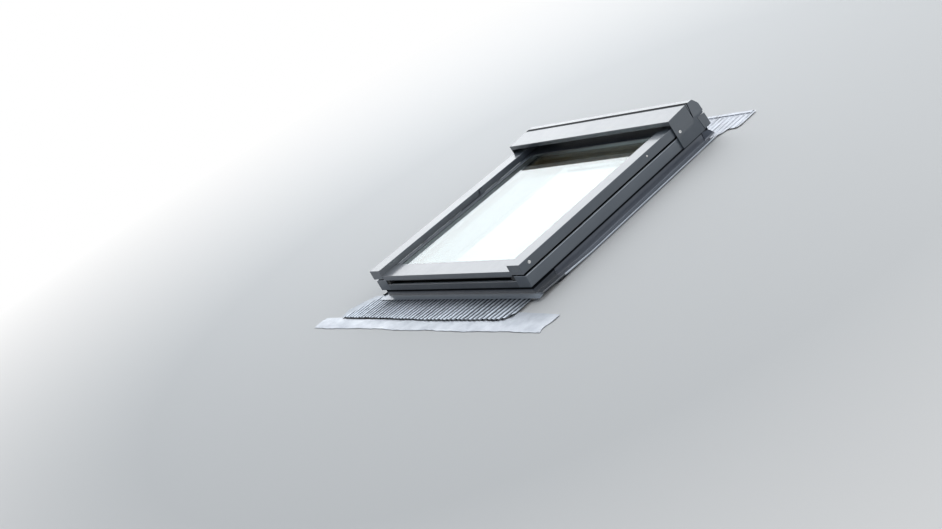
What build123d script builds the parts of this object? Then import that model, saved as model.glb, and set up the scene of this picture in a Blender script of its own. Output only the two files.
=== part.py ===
from build123d import *
import os
from math import cos, hypot, radians, sin, sqrt

os.makedirs("parts", exist_ok=True)

# Roof skylight: a centre-pivot window with its frame, cladding, hood and flashing.
# X runs across the window, Y up the slope of the roof and Z out of the roof.
# The origin is the centre of the four fixing holes, in the plane of the battens.

# Timber frame
frame_width = 780.0
frame_length = 978.0
frame_depth = 124.0
frame_side_thickness = 36.0
frame_end_thickness = 28.0
lining_groove_width = 10.0
lining_groove_depth = 7.0
lining_groove_rise = 12.0
nosing_depth = 8.0
nosing_gap = 1.0

# Heights of the cladding above the battens
cover_top_z = 128.0
upper_tier_height = 34.5
tier_gap = 8.5
lower_tier_height = 41.0
drip_ledge_drop = 19.0

# Folded aluminium sheet
sheet = 0.8
bend_radius = 1.5
hem_width = 6.0
cover_side_overhang = 17.5
top_face_width = 58.0
cover_overhang = 8.0
lower_tier_setback = 6.0
bottom_cover_depth = 74.0
bottom_cover_front_height = 18.5
seam_gap = 0.4
lower_cover_stop_setback = 43.0
upper_cover_stop_setback = 66.0
flange_hinge_gap = 2.0
drip_upstand_setback = 5.0
drip_upstand_drop = 14.5
notch_gap = 3.0
top_cover_gap = 1.0

# Sash timber
sash_side_gap = 9.0
sash_end_gap = 14.0
stile_width = 40.0
bottom_rail_width = 50.0
top_rail_width = 102.0
sash_depth = 49.0
room_chamfer = 4.0

# Sealed glazing unit
glass_drop = 25.0
pane_thickness = 4.0
pane_cavity = 16.0
pane_corner = 1.0
tape_thickness = 2.0
tape_width = 20.0
tape_setback = 1.0
seal_thickness = 1.5
seal_band_width = 31.5
seal_skirt = 4.3
unit_edge_setback = 7.0
unit_bottom_setback = 9.0
unit_top_overlap = 9.0
spacer_width = 14.0
spacer_edge = 2.0
fit_gap = 0.2
bead_drop = 5.5
bead_inset = 0.3

# Pivot hinges: a half-ring tongue on the sash runs in a half-ring groove in the frame
swing_angle = 160.0
hinge_body_radius = 70.0
hinge_body_thickness = 11.0
hinge_body_gap = 6.0
groove_inner_radius = 48.0
groove_outer_radius = 58.0
groove_depth = 7.0
running_gap = 0.3
hinge_top_gap = 2.0
sash_plate_thickness = 3.0
sash_plate_margin = 3.5
tongue_low_angle = -60.0
tongue_high_angle = 84.0
hinge_foot_width = 90.0
hinge_foot_depth = 40.0
hinge_corner_radius = 5.0

# Hood over the top of the window
hood_setback = 174.0
hood_front_height = 29.5
hood_rake = 17.0
hood_lip_height = 16.0
ridge_setback = 69.0
ridge_height = 34.6
groove_run = 9.2
lobe_base_drop = 22.4
lobe_top_setback = 31.0
lobe_shoulder_setback = 7.5
lobe_shoulder_drop = 24.0
lobe_foot_width = 24.0
lobe_rear_foot_width = 12.0
lobe_bend_radii = (2.0, 3.0, 10.0, 22.0, 2.0)
hood_sheet = 1.0
hood_end_thickness = 2.2
hood_half_overhang = 7.1
hood_rear_gap = 2.0
hood_bend_radii = (1.6, 2.5, 3.0)
hood_corner_radius = 2.5
support_front_setback = 30.0
support_rear_setback = 25.0
support_side_setback = 12.0
support_width = 30.0
support_wall = 3.0
tail_drop = 30.6
tail_front_setback = 39.6
tail_rear_step = 9.3
tail_depth = 51.0
tail_foot_width = 7.0
tail_foot_gap = 2.0
tail_seam = 1.5
block_tip_setback = 5.0
tail_fall = 2.0
tail_end_setback = 26.3
visible_glass_under_hood = 11.0

# Flashing
flashing_sheet = 0.6
flashing_base_z = 3.0
flashing_lift = 11.4
upstand_gap = 6.6
upstand_cover = 20.0
gutter_width = 36.0
gutter_welt_height = 5.0
gutter_welt_width = 8.0
bottom_return_length = 114.0
bottom_return_step = 0.8
lift_run = 250.0
front_upstand_cover = 5.0
band_slope_run = 19.0
band_bend_radius = 5.0
band_lip = 2.5
apron_base_z = 4.0
apron_left_reach = 160.0
apron_right_reach = 4.0
apron_start = 8.0
apron_reach = 121.0
apron_return_reach = 50.0
apron_return_rise = 54.0
apron_corner_radius = 8.0
pleat_pitch = 19.5
pleat_height = 5.0
pleat_slant = 0.12
pleat_profile = ((0, 0), (0.2, 0.8), (0.5, 1.0), (0.8, 0.8))
lead_thickness = 1.2
lead_left_reach = 290.0
lead_right_reach = 196.0
lead_reach = 176.0
lead_overlap = 48.0
top_skirt_reach = 153.0
top_skirt_side_reach = 104.0
top_skirt_return = 22.0
top_welt_width = 14.0
top_welt_margin = 10.0
crimp_pitch = 24.0
crimp_height = 2.5
crimp_profile = ((0, 0), (0.35, 0), (0.5, 1.0), (0.65, 0))
ear_setback = 36.0
ear_length = 60.0
ear_height = 33.0
ear_step = 2.0
ear_lap = 12.0

# Fixing brackets
bracket_plate = 2.0
bracket_reach = 40.0
bracket_rise = 55.0
bracket_width = 60.0
fixing_hole_radius = 3.5
fixing_hole_reach = 30.0
bracket_setback = 109.0
bracket_screw_spacing = 36.0
bracket_screw_height = 36.0

# Cover brackets under the side covers
clip_sheet = 1.5
clip_width = 30.0
clip_base_width = 6.0
clip_leg_gap = 0.1
clip_step_z = 18.2
clip_edge_drop = 29.0
clip_end_setback = 22.0
clip_hinge_gap = 45.0
frame_clip_setback = 6.0

# Screws
small_head_radius = 3.2
large_head_radius = 5.5
screw_head_height = 3.0
screw_head_bevel = 1.0
screw_shank_radius = 2.1
screw_hole_gap = 0.15
cover_screw_length = 9.0
hood_screw_length = 16.0
bracket_screw_length = 26.0
big_screw_from_end = 41.0
small_screw_setback = 321.0
hood_screw_setback = 143.5
cover_screw_drop = 15.0
hood_screw_drop = 26.5

# Lock between the top rail of the sash and the frame
latch_pivot_setback = 13.0
latch_pivot_drop = 11.0
latch_length = 20.5
latch_thickness = 5.0
latch_arm_height = 8.0
latch_angle = 75.0
latch_pin_radius = 2.5
mortise_gap = 1.0
latch_strip_gap = 5.0
case_width = 28.0
case_depth = 27.0
case_height = 19.0
case_wall = 2.5
case_corner_radius = 3.0
strike_plate_thickness = 3.0
strike_plate_width = 50.0
strike_plate_height = 44.0
strike_ledge_height = 5.5
strike_ledge_width = 24.0
strike_ledge_gap = 0.3
strike_ledge_setback = 2.7
strike_corner_radius = 4.0

# Ventilation flap with its control bar
flap_angle = 30.0
flap_length = 48.0
flap_thickness = 10.0
flap_width = 450.0
flap_hinge_setback = 52.0
flap_pin_radius = 2.0
flap_block_width = 12.0
flap_block_reach = 14.0
flap_block_inset = 30.0
flap_knuckle_radius = 5.0
flap_nose = 3.0
flap_pin_overhang = 4.0
flap_pin_drop = 6.0
bar_radius = 7.0
bar_length = 540.0
bar_drop = 38.0
bar_offset = 29.0
bar_post_width = 12.0
bar_post_spacing = 190.0
bar_post_root = 9.0
bar_post_tip = 4.0
vent_slot_width = 28.0
vent_slot_setback = 17.0
vent_slot_half_length = 225.0
vent_centre_half_width = 30.0
filter_height = 30.0

# Barrel bolt in the corner of the sash
bolt_radius = 5.0
bolt_length = 104.0
bolt_travel = 18.0
bolt_setback = 22.0
bolt_rise = 14.0
bolt_tip_inset = 0.5
bolt_point = 1.0
knob_radius = 4.0
knob_from_tip = 82.0
knob_drop = 10.0
bush_wall = 2.7
bush_length = 12.0

# Weather strips
strip_base = 3.0
strip_height = 12.0
strip_tip_gap = 0.4
strip_rise = 7.0
strip_hinge_gap = 3.0
strip_drop = 2.0
strip_lip = 2.5
strip_root = 3.5
sill_bulb_radius = 5.0
sill_stem_width = 3.8
sill_stem_grip = 7.0
plug_width = 18.0
plug_depth = 16.0
plug_setback = 2.0
plug_gap = 1.0
plug_corner_radius = 2.0
vent_hole_width = 26.0
vent_hole_depth = 8.0
vent_hole_count = 8

# Places worked out from the sizes above
half_width = frame_width / 2
top_end = frame_length / 2
bottom_end = -frame_length / 2
cover_edge_x = half_width + cover_side_overhang
lip_x = cover_edge_x - top_face_width
upper_tier_z = cover_top_z - upper_tier_height
lower_tier_top_z = upper_tier_z - tier_gap
lower_tier_z = lower_tier_top_z - lower_tier_height
frame_top_z = lower_tier_top_z - sheet
frame_bottom_z = frame_top_z - frame_depth
drip_ledge_z = lower_tier_top_z - drip_ledge_drop
sill_top_z = drip_ledge_z - sheet
frame_inner_x = half_width - frame_side_thickness
frame_inner_top_y = top_end - frame_end_thickness
frame_inner_bottom_y = bottom_end + frame_end_thickness
cover_end_y = bottom_end - cover_overhang
lower_end_y = cover_end_y + lower_tier_setback
lower_cover_stop_y = top_end - lower_cover_stop_setback
upper_cover_stop_y = top_end - upper_cover_stop_setback

glass_top_z = cover_top_z - glass_drop
glass_bottom_z = glass_top_z - 2 * pane_thickness - pane_cavity
sash_top_z = glass_bottom_z - tape_thickness
sash_bottom_z = sash_top_z - sash_depth
seal_top_z = glass_top_z + seal_thickness
sash_outer_x = frame_inner_x - sash_side_gap
sash_inner_x = sash_outer_x - stile_width
sash_top_y = frame_inner_top_y - sash_end_gap
sash_bottom_y = frame_inner_bottom_y + sash_end_gap
opening_top_y = sash_top_y - top_rail_width
opening_bottom_y = sash_bottom_y + bottom_rail_width
glass_edge_x = sash_outer_x - unit_edge_setback
glass_low_y = sash_bottom_y + unit_bottom_setback
glass_high_y = opening_top_y + unit_top_overlap
visible_glass_x = lip_x - seal_band_width
visible_glass_low_y = cover_end_y + bottom_cover_depth
hood_front_y = top_end - hood_setback
visible_glass_high_y = hood_front_y + visible_glass_under_hood
pivot_z = cover_top_z
front_upstand_top_z = lower_tier_z + front_upstand_cover
front_y = bottom_end + nosing_depth
swing = radians(swing_angle)
sides = ((-1, "left"), (1, "right"))


def section_at_y(y):
    # A plane across the window whose own axes are X and Z.
    return Plane.XZ.offset(-y)


def section_at_x(x):
    # A plane along the slope whose own axes are Y and Z.
    return Plane.YZ.offset(x)


def rectangle_between(x_low, x_high, y_low, y_high, mode=Mode.ADD):
    with Locations(((x_low + x_high) / 2, (y_low + y_high) / 2)):
        Rectangle(x_high - x_low, y_high - y_low, mode=mode)


def block_between(x, y, z, mode=Mode.ADD):
    with Locations(((x[0] + x[1]) / 2, (y[0] + y[1]) / 2, (z[0] + z[1]) / 2)):
        Box(abs(x[1] - x[0]), abs(y[1] - y[0]), abs(z[1] - z[0]), mode=mode)


def sheet_section(points, thickness, radius, turn=Side.RIGHT, mirrored=False):
    # The cross-section of a folded sheet: a bent line given a thickness on one side.
    with BuildSketch() as section:
        with BuildLine():
            FilletPolyline(*points, radius=radius)
            offset(amount=thickness, side=turn)
        make_face()
        if mirrored:
            mirror(about=Plane.YZ, mode=Mode.REPLACE)
    return section.sketch


def end_sheet(side, low_z, high_z, bends):
    # The folded end of a side cover; its outermost top corners follow the sheet's bends.
    with BuildSketch() as end:
        rectangle_between(*sorted((side * lip_x, side * cover_edge_x)), low_z, high_z)
        top_corners = end.vertices().group_by(Axis.Y)[-1].sort_by(Axis.X, reverse=side > 0)
        fillet(top_corners[:bends], bend_radius)
    return end.sketch


def pan_screw(head_radius, shank_length):
    # A pan head screw standing on Z = 0 with its shank below.
    with BuildPart() as screw:
        with BuildSketch():
            Circle(head_radius)
        extrude(amount=screw_head_height)
        chamfer(screw.edges().group_by(Axis.Z)[-1], screw_head_bevel)
        with BuildSketch():
            Circle(screw_shank_radius)
        extrude(amount=-shank_length)
    return screw.part


def facing_out(side):
    # Rotation that lays an upright screw along X with its head outwards.
    return (0, 90 * side, 0)


def swung(y, z):
    # Where a point of the closed sash stands once the sash is turned for cleaning.
    rise = z - pivot_z
    return (
        y * cos(swing) + rise * sin(swing),
        pivot_z - y * sin(swing) + rise * cos(swing),
    )


def save(piece, name):
    piece.part.label = name
    export_step(piece.part, f"parts/{name}.step")


# Barrel bolt places, shared by the sash, the frame and the bushes
bolt_y = sash_top_y - bolt_setback
bolt_z = sash_bottom_z + bolt_rise
bush_radius = bolt_radius + running_gap + bush_wall
bush_places = ((bolt_y, bolt_z), swung(bolt_y, bolt_z))
bolt_tip_x = -(sash_outer_x - bolt_tip_inset)
bolt_end_x = bolt_tip_x + bolt_length
knob_x = bolt_tip_x + knob_from_tip

# Fixing bracket places
bracket_y = top_end - bracket_setback
bracket_screw_y = [
    row + step
    for row in (-bracket_y, bracket_y)
    for step in (-bracket_screw_spacing / 2, bracket_screw_spacing / 2)
]


def undercut_nosing():
    # Sets the lower front of the timber back, so that the bottom cover overhangs the flashing.
    block_between(
        (-half_width, half_width),
        (bottom_end, front_y),
        (frame_bottom_z, front_upstand_top_z + nosing_gap),
        mode=Mode.SUBTRACT,
    )


# Timber frame
for side, side_name in sides:
    with BuildPart() as frame_side:
        with BuildSketch(section_at_y(top_end)):
            rectangle_between(
                *sorted((side * frame_inner_x, side * half_width)), frame_bottom_z, frame_top_z
            )
            rectangle_between(
                *sorted((side * frame_inner_x, side * (frame_inner_x + lining_groove_depth))),
                frame_bottom_z + lining_groove_rise,
                frame_bottom_z + lining_groove_rise + lining_groove_width,
                mode=Mode.SUBTRACT,
            )
        extrude(amount=frame_length)
        with BuildSketch(section_at_x(side * frame_inner_x)):
            with Locations((0, pivot_z)):
                Circle(hinge_body_radius + running_gap)
        extrude(
            amount=side * (hinge_body_thickness + running_gap - (sash_side_gap - hinge_body_gap)),
            mode=Mode.SUBTRACT,
        )
        with BuildSketch(section_at_x(side * half_width)):
            with Locations(*[(y, bracket_screw_height) for y in bracket_screw_y]):
                Circle(screw_shank_radius + screw_hole_gap)
        extrude(amount=-side * bracket_screw_length, mode=Mode.SUBTRACT)
        if side < 0:
            with BuildSketch(section_at_x(side * frame_inner_x)):
                with Locations(*bush_places):
                    Circle(bush_radius)
            extrude(amount=side * bush_length, mode=Mode.SUBTRACT)
        undercut_nosing()
    save(frame_side, f"frame_side_{side_name}")

with BuildPart() as frame_top_rail:
    with BuildSketch(section_at_x(-frame_inner_x)):
        rectangle_between(frame_inner_top_y, top_end, frame_bottom_z, frame_top_z)
        rectangle_between(
            frame_inner_top_y,
            frame_inner_top_y + lining_groove_depth,
            frame_bottom_z + lining_groove_rise,
            frame_bottom_z + lining_groove_rise + lining_groove_width,
            mode=Mode.SUBTRACT,
        )
    extrude(amount=2 * frame_inner_x)
save(frame_top_rail, "frame_top_rail")

with BuildPart() as frame_bottom_rail:
    with BuildSketch(section_at_x(-frame_inner_x)):
        rectangle_between(bottom_end, frame_inner_bottom_y, frame_bottom_z, sill_top_z)
        rectangle_between(
            frame_inner_bottom_y - lining_groove_depth,
            frame_inner_bottom_y,
            frame_bottom_z + lining_groove_rise,
            frame_bottom_z + lining_groove_rise + lining_groove_width,
            mode=Mode.SUBTRACT,
        )
    extrude(amount=2 * frame_inner_x)
    undercut_nosing()
save(frame_bottom_rail, "frame_bottom_rail")

# Fixing brackets, each an angle of steel plate with a rounded foot
with BuildPart() as fixing_brackets:
    for side, _ in sides:
        for row in (-bracket_y, bracket_y):
            with BuildSketch(section_at_y(row + bracket_width / 2)):
                add(
                    sheet_section(
                        (
                            (half_width, bracket_rise),
                            (half_width, 0),
                            (half_width + bracket_reach, 0),
                        ),
                        bracket_plate,
                        bracket_plate * 1.5,
                        turn=Side.LEFT,
                        mirrored=side < 0,
                    )
                )
            extrude(amount=bracket_width)
    fillet(
        fixing_brackets.edges().filter_by(Axis.Z).group_by(SortBy.LENGTH)[0], bracket_width / 6
    )
    with BuildSketch(Plane.XY):
        with GridLocations(2 * (half_width + fixing_hole_reach), 2 * bracket_y, 2, 2):
            Circle(fixing_hole_radius)
    extrude(amount=bracket_plate, mode=Mode.SUBTRACT)
    for side, _ in sides:
        with BuildSketch(section_at_x(side * half_width)):
            with Locations(*[(y, bracket_screw_height) for y in bracket_screw_y]):
                Circle(screw_shank_radius + screw_hole_gap)
        extrude(amount=side * bracket_plate, mode=Mode.SUBTRACT)
save(fixing_brackets, "fixing_brackets")

with BuildPart() as bracket_screws:
    for side, _ in sides:
        for y in bracket_screw_y:
            with Locations(
                Location(
                    (side * (half_width + bracket_plate), y, bracket_screw_height),
                    facing_out(side),
                )
            ):
                add(pan_screw(small_head_radius, bracket_screw_length))
save(bracket_screws, "bracket_screws")

# Lower tier of cladding on the frame, with a closed bottom end
frame_flange_x = sash_outer_x + hinge_body_gap + hinge_body_thickness + flange_hinge_gap
for side, side_name in sides:
    with BuildPart() as frame_cover:
        with BuildSketch(section_at_y(lower_cover_stop_y)):
            add(
                sheet_section(
                    (
                        (frame_flange_x, lower_tier_top_z),
                        (cover_edge_x, lower_tier_top_z),
                        (cover_edge_x, lower_tier_z),
                        (cover_edge_x - hem_width, lower_tier_z),
                    ),
                    sheet,
                    bend_radius,
                    mirrored=side < 0,
                )
            )
        extrude(amount=lower_cover_stop_y - lower_end_y)
        with BuildSketch(section_at_y(lower_end_y + sheet)):
            add(end_sheet(side, lower_tier_z, lower_tier_top_z, 1))
        extrude(amount=sheet)
    save(frame_cover, f"frame_cover_{side_name}")

# Bottom cover of the frame: a drip ledge with a weather upstand behind it
drip_upstand_y = frame_inner_bottom_y - drip_upstand_setback
drip_upstand_top_z = seal_top_z - drip_upstand_drop
with BuildPart() as frame_cover_bottom:
    with BuildSketch(section_at_x(-(lip_x - fit_gap))):
        add(
            sheet_section(
                (
                    (drip_upstand_y, drip_upstand_top_z),
                    (drip_upstand_y, drip_ledge_z),
                    (lower_end_y, drip_ledge_z),
                    (lower_end_y, lower_tier_z),
                ),
                sheet,
                bend_radius,
                turn=Side.LEFT,
            )
        )
    extrude(amount=2 * (lip_x - fit_gap))
save(frame_cover_bottom, "frame_cover_bottom")


def side_cover_section(side):
    # Upper tier profile: inner lip, top face, outer side and a hem.
    return sheet_section(
        (
            (lip_x, seal_top_z),
            (lip_x, cover_top_z),
            (cover_edge_x, cover_top_z),
            (cover_edge_x, upper_tier_z),
            (cover_edge_x - hem_width, upper_tier_z),
        ),
        sheet,
        bend_radius,
        mirrored=side < 0,
    )


def side_hole(side, y, z):
    # A clearance hole through the outer wall of the side cladding.
    with Locations(Location((side * cover_edge_x, y, z), facing_out(side))):
        Cylinder(screw_shank_radius + screw_hole_gap, 4 * sheet, mode=Mode.SUBTRACT)


big_screw_y = cover_end_y + big_screw_from_end
small_screw_y = top_end - small_screw_setback
hood_screw_y = top_end - hood_screw_setback
cover_screw_z = cover_top_z - cover_screw_drop
hood_screw_z = cover_top_z - hood_screw_drop

# Upper tier on the lower half of the sash, closed at its bottom end
for side, side_name in sides:
    with BuildPart() as sash_cover:
        with BuildSketch(section_at_y(-seam_gap / 2)):
            add(side_cover_section(side))
        extrude(amount=-seam_gap / 2 - cover_end_y)
        with BuildSketch(section_at_y(cover_end_y + sheet)):
            add(end_sheet(side, upper_tier_z, cover_top_z, 2))
        extrude(amount=sheet)
        side_hole(side, big_screw_y, cover_screw_z)
    save(sash_cover, f"sash_cover_{side_name}")

# Upper tier on the upper half of the frame, its lip notched where the hinge passes
tongue_plate_radius = groove_inner_radius - sash_plate_margin
notch_low_y = sqrt(tongue_plate_radius**2 - (pivot_z - seal_top_z) ** 2) - running_gap
notch_high_y = groove_outer_radius + notch_gap
for side, side_name in sides:
    with BuildPart() as upper_cover:
        with BuildSketch(section_at_y(upper_cover_stop_y)):
            add(side_cover_section(side))
        extrude(amount=upper_cover_stop_y - seam_gap / 2)
        block_between(
            (side * (lip_x - sheet), side * (lip_x + 2 * sheet)),
            (notch_low_y, notch_high_y),
            (seal_top_z - sheet, cover_top_z - hinge_top_gap),
            mode=Mode.SUBTRACT,
        )
        side_hole(side, small_screw_y, cover_screw_z)
        side_hole(side, hood_screw_y, hood_screw_z)
    save(upper_cover, f"upper_cover_{side_name}")

# Bottom and top covers of the sash
cover_sheet_z = seal_top_z + sheet
with BuildPart() as sash_cover_bottom:
    with BuildSketch(section_at_x(-(lip_x - fit_gap))):
        add(
            sheet_section(
                (
                    (visible_glass_low_y, cover_sheet_z),
                    (cover_end_y + sheet, cover_sheet_z),
                    (cover_end_y + sheet, cover_sheet_z - bottom_cover_front_height),
                    (
                        cover_end_y + sheet + hem_width,
                        cover_sheet_z - bottom_cover_front_height,
                    ),
                ),
                sheet,
                bend_radius,
                turn=Side.LEFT,
            )
        )
    extrude(amount=2 * (lip_x - fit_gap))
save(sash_cover_bottom, "sash_cover_bottom")

top_cover_half = sash_outer_x - top_cover_gap
latch_y = sash_top_y - latch_pivot_setback
latch_z = sash_top_z - latch_pivot_drop
slot_high_y = sash_top_y - vent_slot_setback
slot_low_y = slot_high_y - vent_slot_width
with BuildPart() as sash_cover_top:
    with BuildSketch(section_at_x(-top_cover_half)):
        add(
            sheet_section(
                (
                    (visible_glass_high_y, cover_sheet_z),
                    (sash_top_y, cover_sheet_z),
                    (sash_top_y, sash_top_z),
                ),
                sheet,
                bend_radius,
            )
        )
    extrude(amount=2 * top_cover_half)
    block_between(
        (-latch_thickness, latch_thickness),
        (sash_top_y - 2 * sheet, sash_top_y + sheet),
        (sash_top_z - sheet, sash_top_z + case_height),
        mode=Mode.SUBTRACT,
    )
    with BuildSketch(Plane.XY.offset(cover_sheet_z)):
        with Locations((0, (slot_low_y + slot_high_y) / 2)):
            with GridLocations(2 * vent_slot_half_length / vent_hole_count, 1, vent_hole_count, 1):
                SlotOverall(vent_hole_width, vent_hole_depth)
    extrude(amount=-2 * sheet, mode=Mode.SUBTRACT)
save(sash_cover_top, "sash_cover_top")

# Sash timber
for side, side_name in sides:
    with BuildPart() as sash_stile:
        with BuildSketch(section_at_y(sash_top_y)):
            rectangle_between(
                *sorted((side * sash_inner_x, side * sash_outer_x)), sash_bottom_z, sash_top_z
            )
        extrude(amount=sash_top_y - sash_bottom_y)
        room_edges = sash_stile.edges().filter_by(Axis.Y).group_by(Axis.Z)[0]
        chamfer(room_edges.sort_by(Axis.X)[0 if side > 0 else -1], room_chamfer)
        if side < 0:
            with BuildSketch(section_at_x(side * sash_outer_x)):
                with Locations((bolt_y, bolt_z)):
                    Circle(bolt_radius + running_gap)
            extrude(amount=stile_width, mode=Mode.SUBTRACT)
    save(sash_stile, f"sash_stile_{side_name}")

with BuildPart() as sash_bottom_rail:
    with BuildSketch(section_at_x(-sash_inner_x)):
        rectangle_between(sash_bottom_y, opening_bottom_y, sash_bottom_z, sash_top_z)
    extrude(amount=2 * sash_inner_x)
    room_edges = sash_bottom_rail.edges().filter_by(Axis.X).group_by(Axis.Z)[0]
    chamfer(room_edges.sort_by(Axis.Y)[-1], room_chamfer)
save(sash_bottom_rail, "sash_bottom_rail")

mortise_half = latch_thickness / 2 + mortise_gap
with BuildPart() as sash_top_rail:
    with BuildSketch(section_at_x(-sash_inner_x)):
        rectangle_between(opening_top_y, sash_top_y, sash_bottom_z, sash_top_z)
    extrude(amount=2 * sash_inner_x)
    room_edges = sash_top_rail.edges().filter_by(Axis.X).group_by(Axis.Z)[0]
    chamfer(room_edges.sort_by(Axis.Y)[0], room_chamfer)
    with BuildSketch(Plane.XY.offset(sash_bottom_z)):
        for end in (-1, 1):
            rectangle_between(
                *sorted((end * vent_centre_half_width, end * vent_slot_half_length)),
                slot_low_y,
                slot_high_y,
            )
    extrude(amount=sash_depth, mode=Mode.SUBTRACT)
    block_between(
        (-mortise_half, mortise_half),
        (latch_y - latch_arm_height, sash_top_y),
        (latch_z - latch_arm_height, sash_top_z),
        mode=Mode.SUBTRACT,
    )
    with BuildSketch(section_at_x(-case_width / 2)):
        with Locations((latch_y, latch_z)):
            Circle(latch_pin_radius + running_gap / 2)
    extrude(amount=case_width, mode=Mode.SUBTRACT)
    with BuildSketch(section_at_x(-sash_inner_x)):
        with Locations((bolt_y, bolt_z)):
            Circle(bolt_radius + running_gap)
    extrude(amount=bolt_end_x + sash_inner_x + fit_gap, mode=Mode.SUBTRACT)
    with BuildSketch(Plane.XY.offset(sash_bottom_z)):
        with Locations((knob_x - bolt_travel / 2, bolt_y)):
            SlotCenterToCenter(bolt_travel, 2 * (knob_radius + running_gap))
    extrude(amount=bolt_rise, mode=Mode.SUBTRACT)
save(sash_top_rail, "sash_top_rail")

# Sealed glazing unit, its edge spacer, tape and weather seal
for pane_name, pane_z in (("outer", glass_top_z - pane_thickness), ("inner", glass_bottom_z)):
    with BuildPart() as pane:
        with BuildSketch(Plane.XY.offset(pane_z)):
            rectangle_between(-glass_edge_x, glass_edge_x, glass_low_y, glass_high_y)
        extrude(amount=pane_thickness)
        chamfer(pane.edges().filter_by(Axis.Z), pane_corner)
    save(pane, f"{pane_name}_pane")


def frame_around(outer, inner):
    # A rectangular ring; each bound is (half width, low y, high y).
    rectangle_between(-outer[0], outer[0], outer[1], outer[2])
    rectangle_between(-inner[0], inner[0], inner[1], inner[2], mode=Mode.SUBTRACT)


with BuildPart() as pane_spacer:
    with BuildSketch(Plane.XY.offset(glass_bottom_z + pane_thickness)):
        inner_edge = spacer_edge + spacer_width
        frame_around(
            (glass_edge_x - spacer_edge, glass_low_y + spacer_edge, glass_high_y - spacer_edge),
            (glass_edge_x - inner_edge, glass_low_y + inner_edge, glass_high_y - inner_edge),
        )
    extrude(amount=pane_cavity)
save(pane_spacer, "pane_spacer")

with BuildPart() as glazing_tape:
    with BuildSketch(Plane.XY.offset(sash_top_z)):
        frame_around(
            (glass_edge_x, glass_low_y, glass_high_y),
            (glass_edge_x - tape_width, glass_low_y + tape_width, opening_top_y + tape_setback),
        )
    extrude(amount=tape_thickness)
save(glazing_tape, "glazing_tape")

seal_edge_x = glass_edge_x + fit_gap + seal_skirt
with BuildPart() as glazing_seal:
    with BuildSketch(Plane.XY.offset(glass_top_z)):
        frame_around(
            (
                seal_edge_x,
                glass_low_y - fit_gap - seal_skirt,
                glass_high_y + fit_gap + seal_skirt,
            ),
            (visible_glass_x, visible_glass_low_y, visible_glass_high_y),
        )
    extrude(amount=seal_thickness)
    with BuildSketch(Plane.XY.offset(glass_bottom_z)):
        frame_around(
            (
                seal_edge_x,
                glass_low_y - fit_gap - seal_skirt,
                glass_high_y + fit_gap + seal_skirt,
            ),
            (glass_edge_x + fit_gap, glass_low_y - fit_gap, glass_high_y + fit_gap),
        )
    extrude(amount=glass_top_z - glass_bottom_z)
save(glazing_seal, "glazing_seal")

# Aluminium beads over the seal along both sides of the glass
with BuildPart() as glazing_beads:
    for side, _ in sides:
        with BuildSketch(section_at_y(visible_glass_high_y - fit_gap)):
            add(
                sheet_section(
                    (
                        (visible_glass_x + fit_gap, cover_sheet_z + fit_gap),
                        (sash_outer_x - bead_inset, cover_sheet_z + fit_gap),
                        (sash_outer_x - bead_inset, cover_sheet_z - bead_drop),
                    ),
                    sheet,
                    bend_radius,
                    mirrored=side < 0,
                )
            )
        extrude(amount=visible_glass_high_y - visible_glass_low_y - 2 * fit_gap)
save(glazing_beads, "glazing_beads")

# Brackets that carry the side covers
clip_top_z = cover_top_z - sheet - clip_sheet
clip_edge_x = cover_edge_x - sheet - clip_sheet
clip_edge_z = cover_top_z - clip_edge_drop


def clip_row(points, places, turn):
    # Bent brackets of one section on both sides of the window, one at each place.
    with BuildPart() as clips:
        for side, _ in sides:
            for y in places:
                with BuildSketch(section_at_y(y + clip_width / 2)):
                    add(
                        sheet_section(
                            points, clip_sheet, clip_sheet * 1.2, turn, mirrored=side < 0
                        )
                    )
                extrude(amount=clip_width)
    return clips.part


sash_clip_x = sash_outer_x - clip_leg_gap
low_clip_y = sash_bottom_y + clip_end_setback
high_clip_y = -hinge_body_radius - clip_hinge_gap
sash_clip_places = (low_clip_y, (low_clip_y + high_clip_y) / 2, high_clip_y)
sash_clip_points = (
    (sash_clip_x - clip_base_width, sash_top_z),
    (sash_clip_x, sash_top_z),
    (sash_clip_x, sash_top_z + clip_step_z),
    (lip_x + sheet + clip_sheet + fit_gap, sash_top_z + clip_step_z),
    (lip_x + sheet + clip_sheet + fit_gap, clip_top_z),
    (clip_edge_x, clip_top_z),
    (clip_edge_x, clip_edge_z),
)
with BuildPart() as sash_cover_brackets:
    add(clip_row(sash_clip_points, sash_clip_places, Side.RIGHT))
save(sash_cover_brackets, "sash_cover_brackets")

frame_clip_x = half_width - frame_clip_setback
frame_clip_points = (
    (frame_clip_x - 3 * clip_base_width, lower_tier_top_z),
    (frame_clip_x, lower_tier_top_z),
    (frame_clip_x, clip_top_z),
    (clip_edge_x, clip_top_z),
    (clip_edge_x, clip_edge_z),
)
with BuildPart() as frame_cover_brackets:
    add(clip_row(frame_clip_points, (small_screw_y, hood_screw_y), Side.LEFT))
    for side, _ in sides:
        with BuildSketch(section_at_x(side * clip_edge_x)):
            with Locations((small_screw_y, cover_screw_z), (hood_screw_y, hood_screw_z)):
                Circle(screw_shank_radius + screw_hole_gap)
        extrude(amount=side * clip_sheet, mode=Mode.SUBTRACT)
save(frame_cover_brackets, "frame_cover_brackets")


def cover_screw_pair(head_radius, length, x, y, z):
    # A screw through the cladding on each side of the window.
    for side, _ in sides:
        with Locations(Location((side * x, y, z), facing_out(side))):
            add(pan_screw(head_radius, length))


with BuildPart() as sash_cover_screws:
    cover_screw_pair(
        large_head_radius, cover_screw_length, cover_edge_x, big_screw_y, cover_screw_z
    )
save(sash_cover_screws, "sash_cover_screws")

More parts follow.
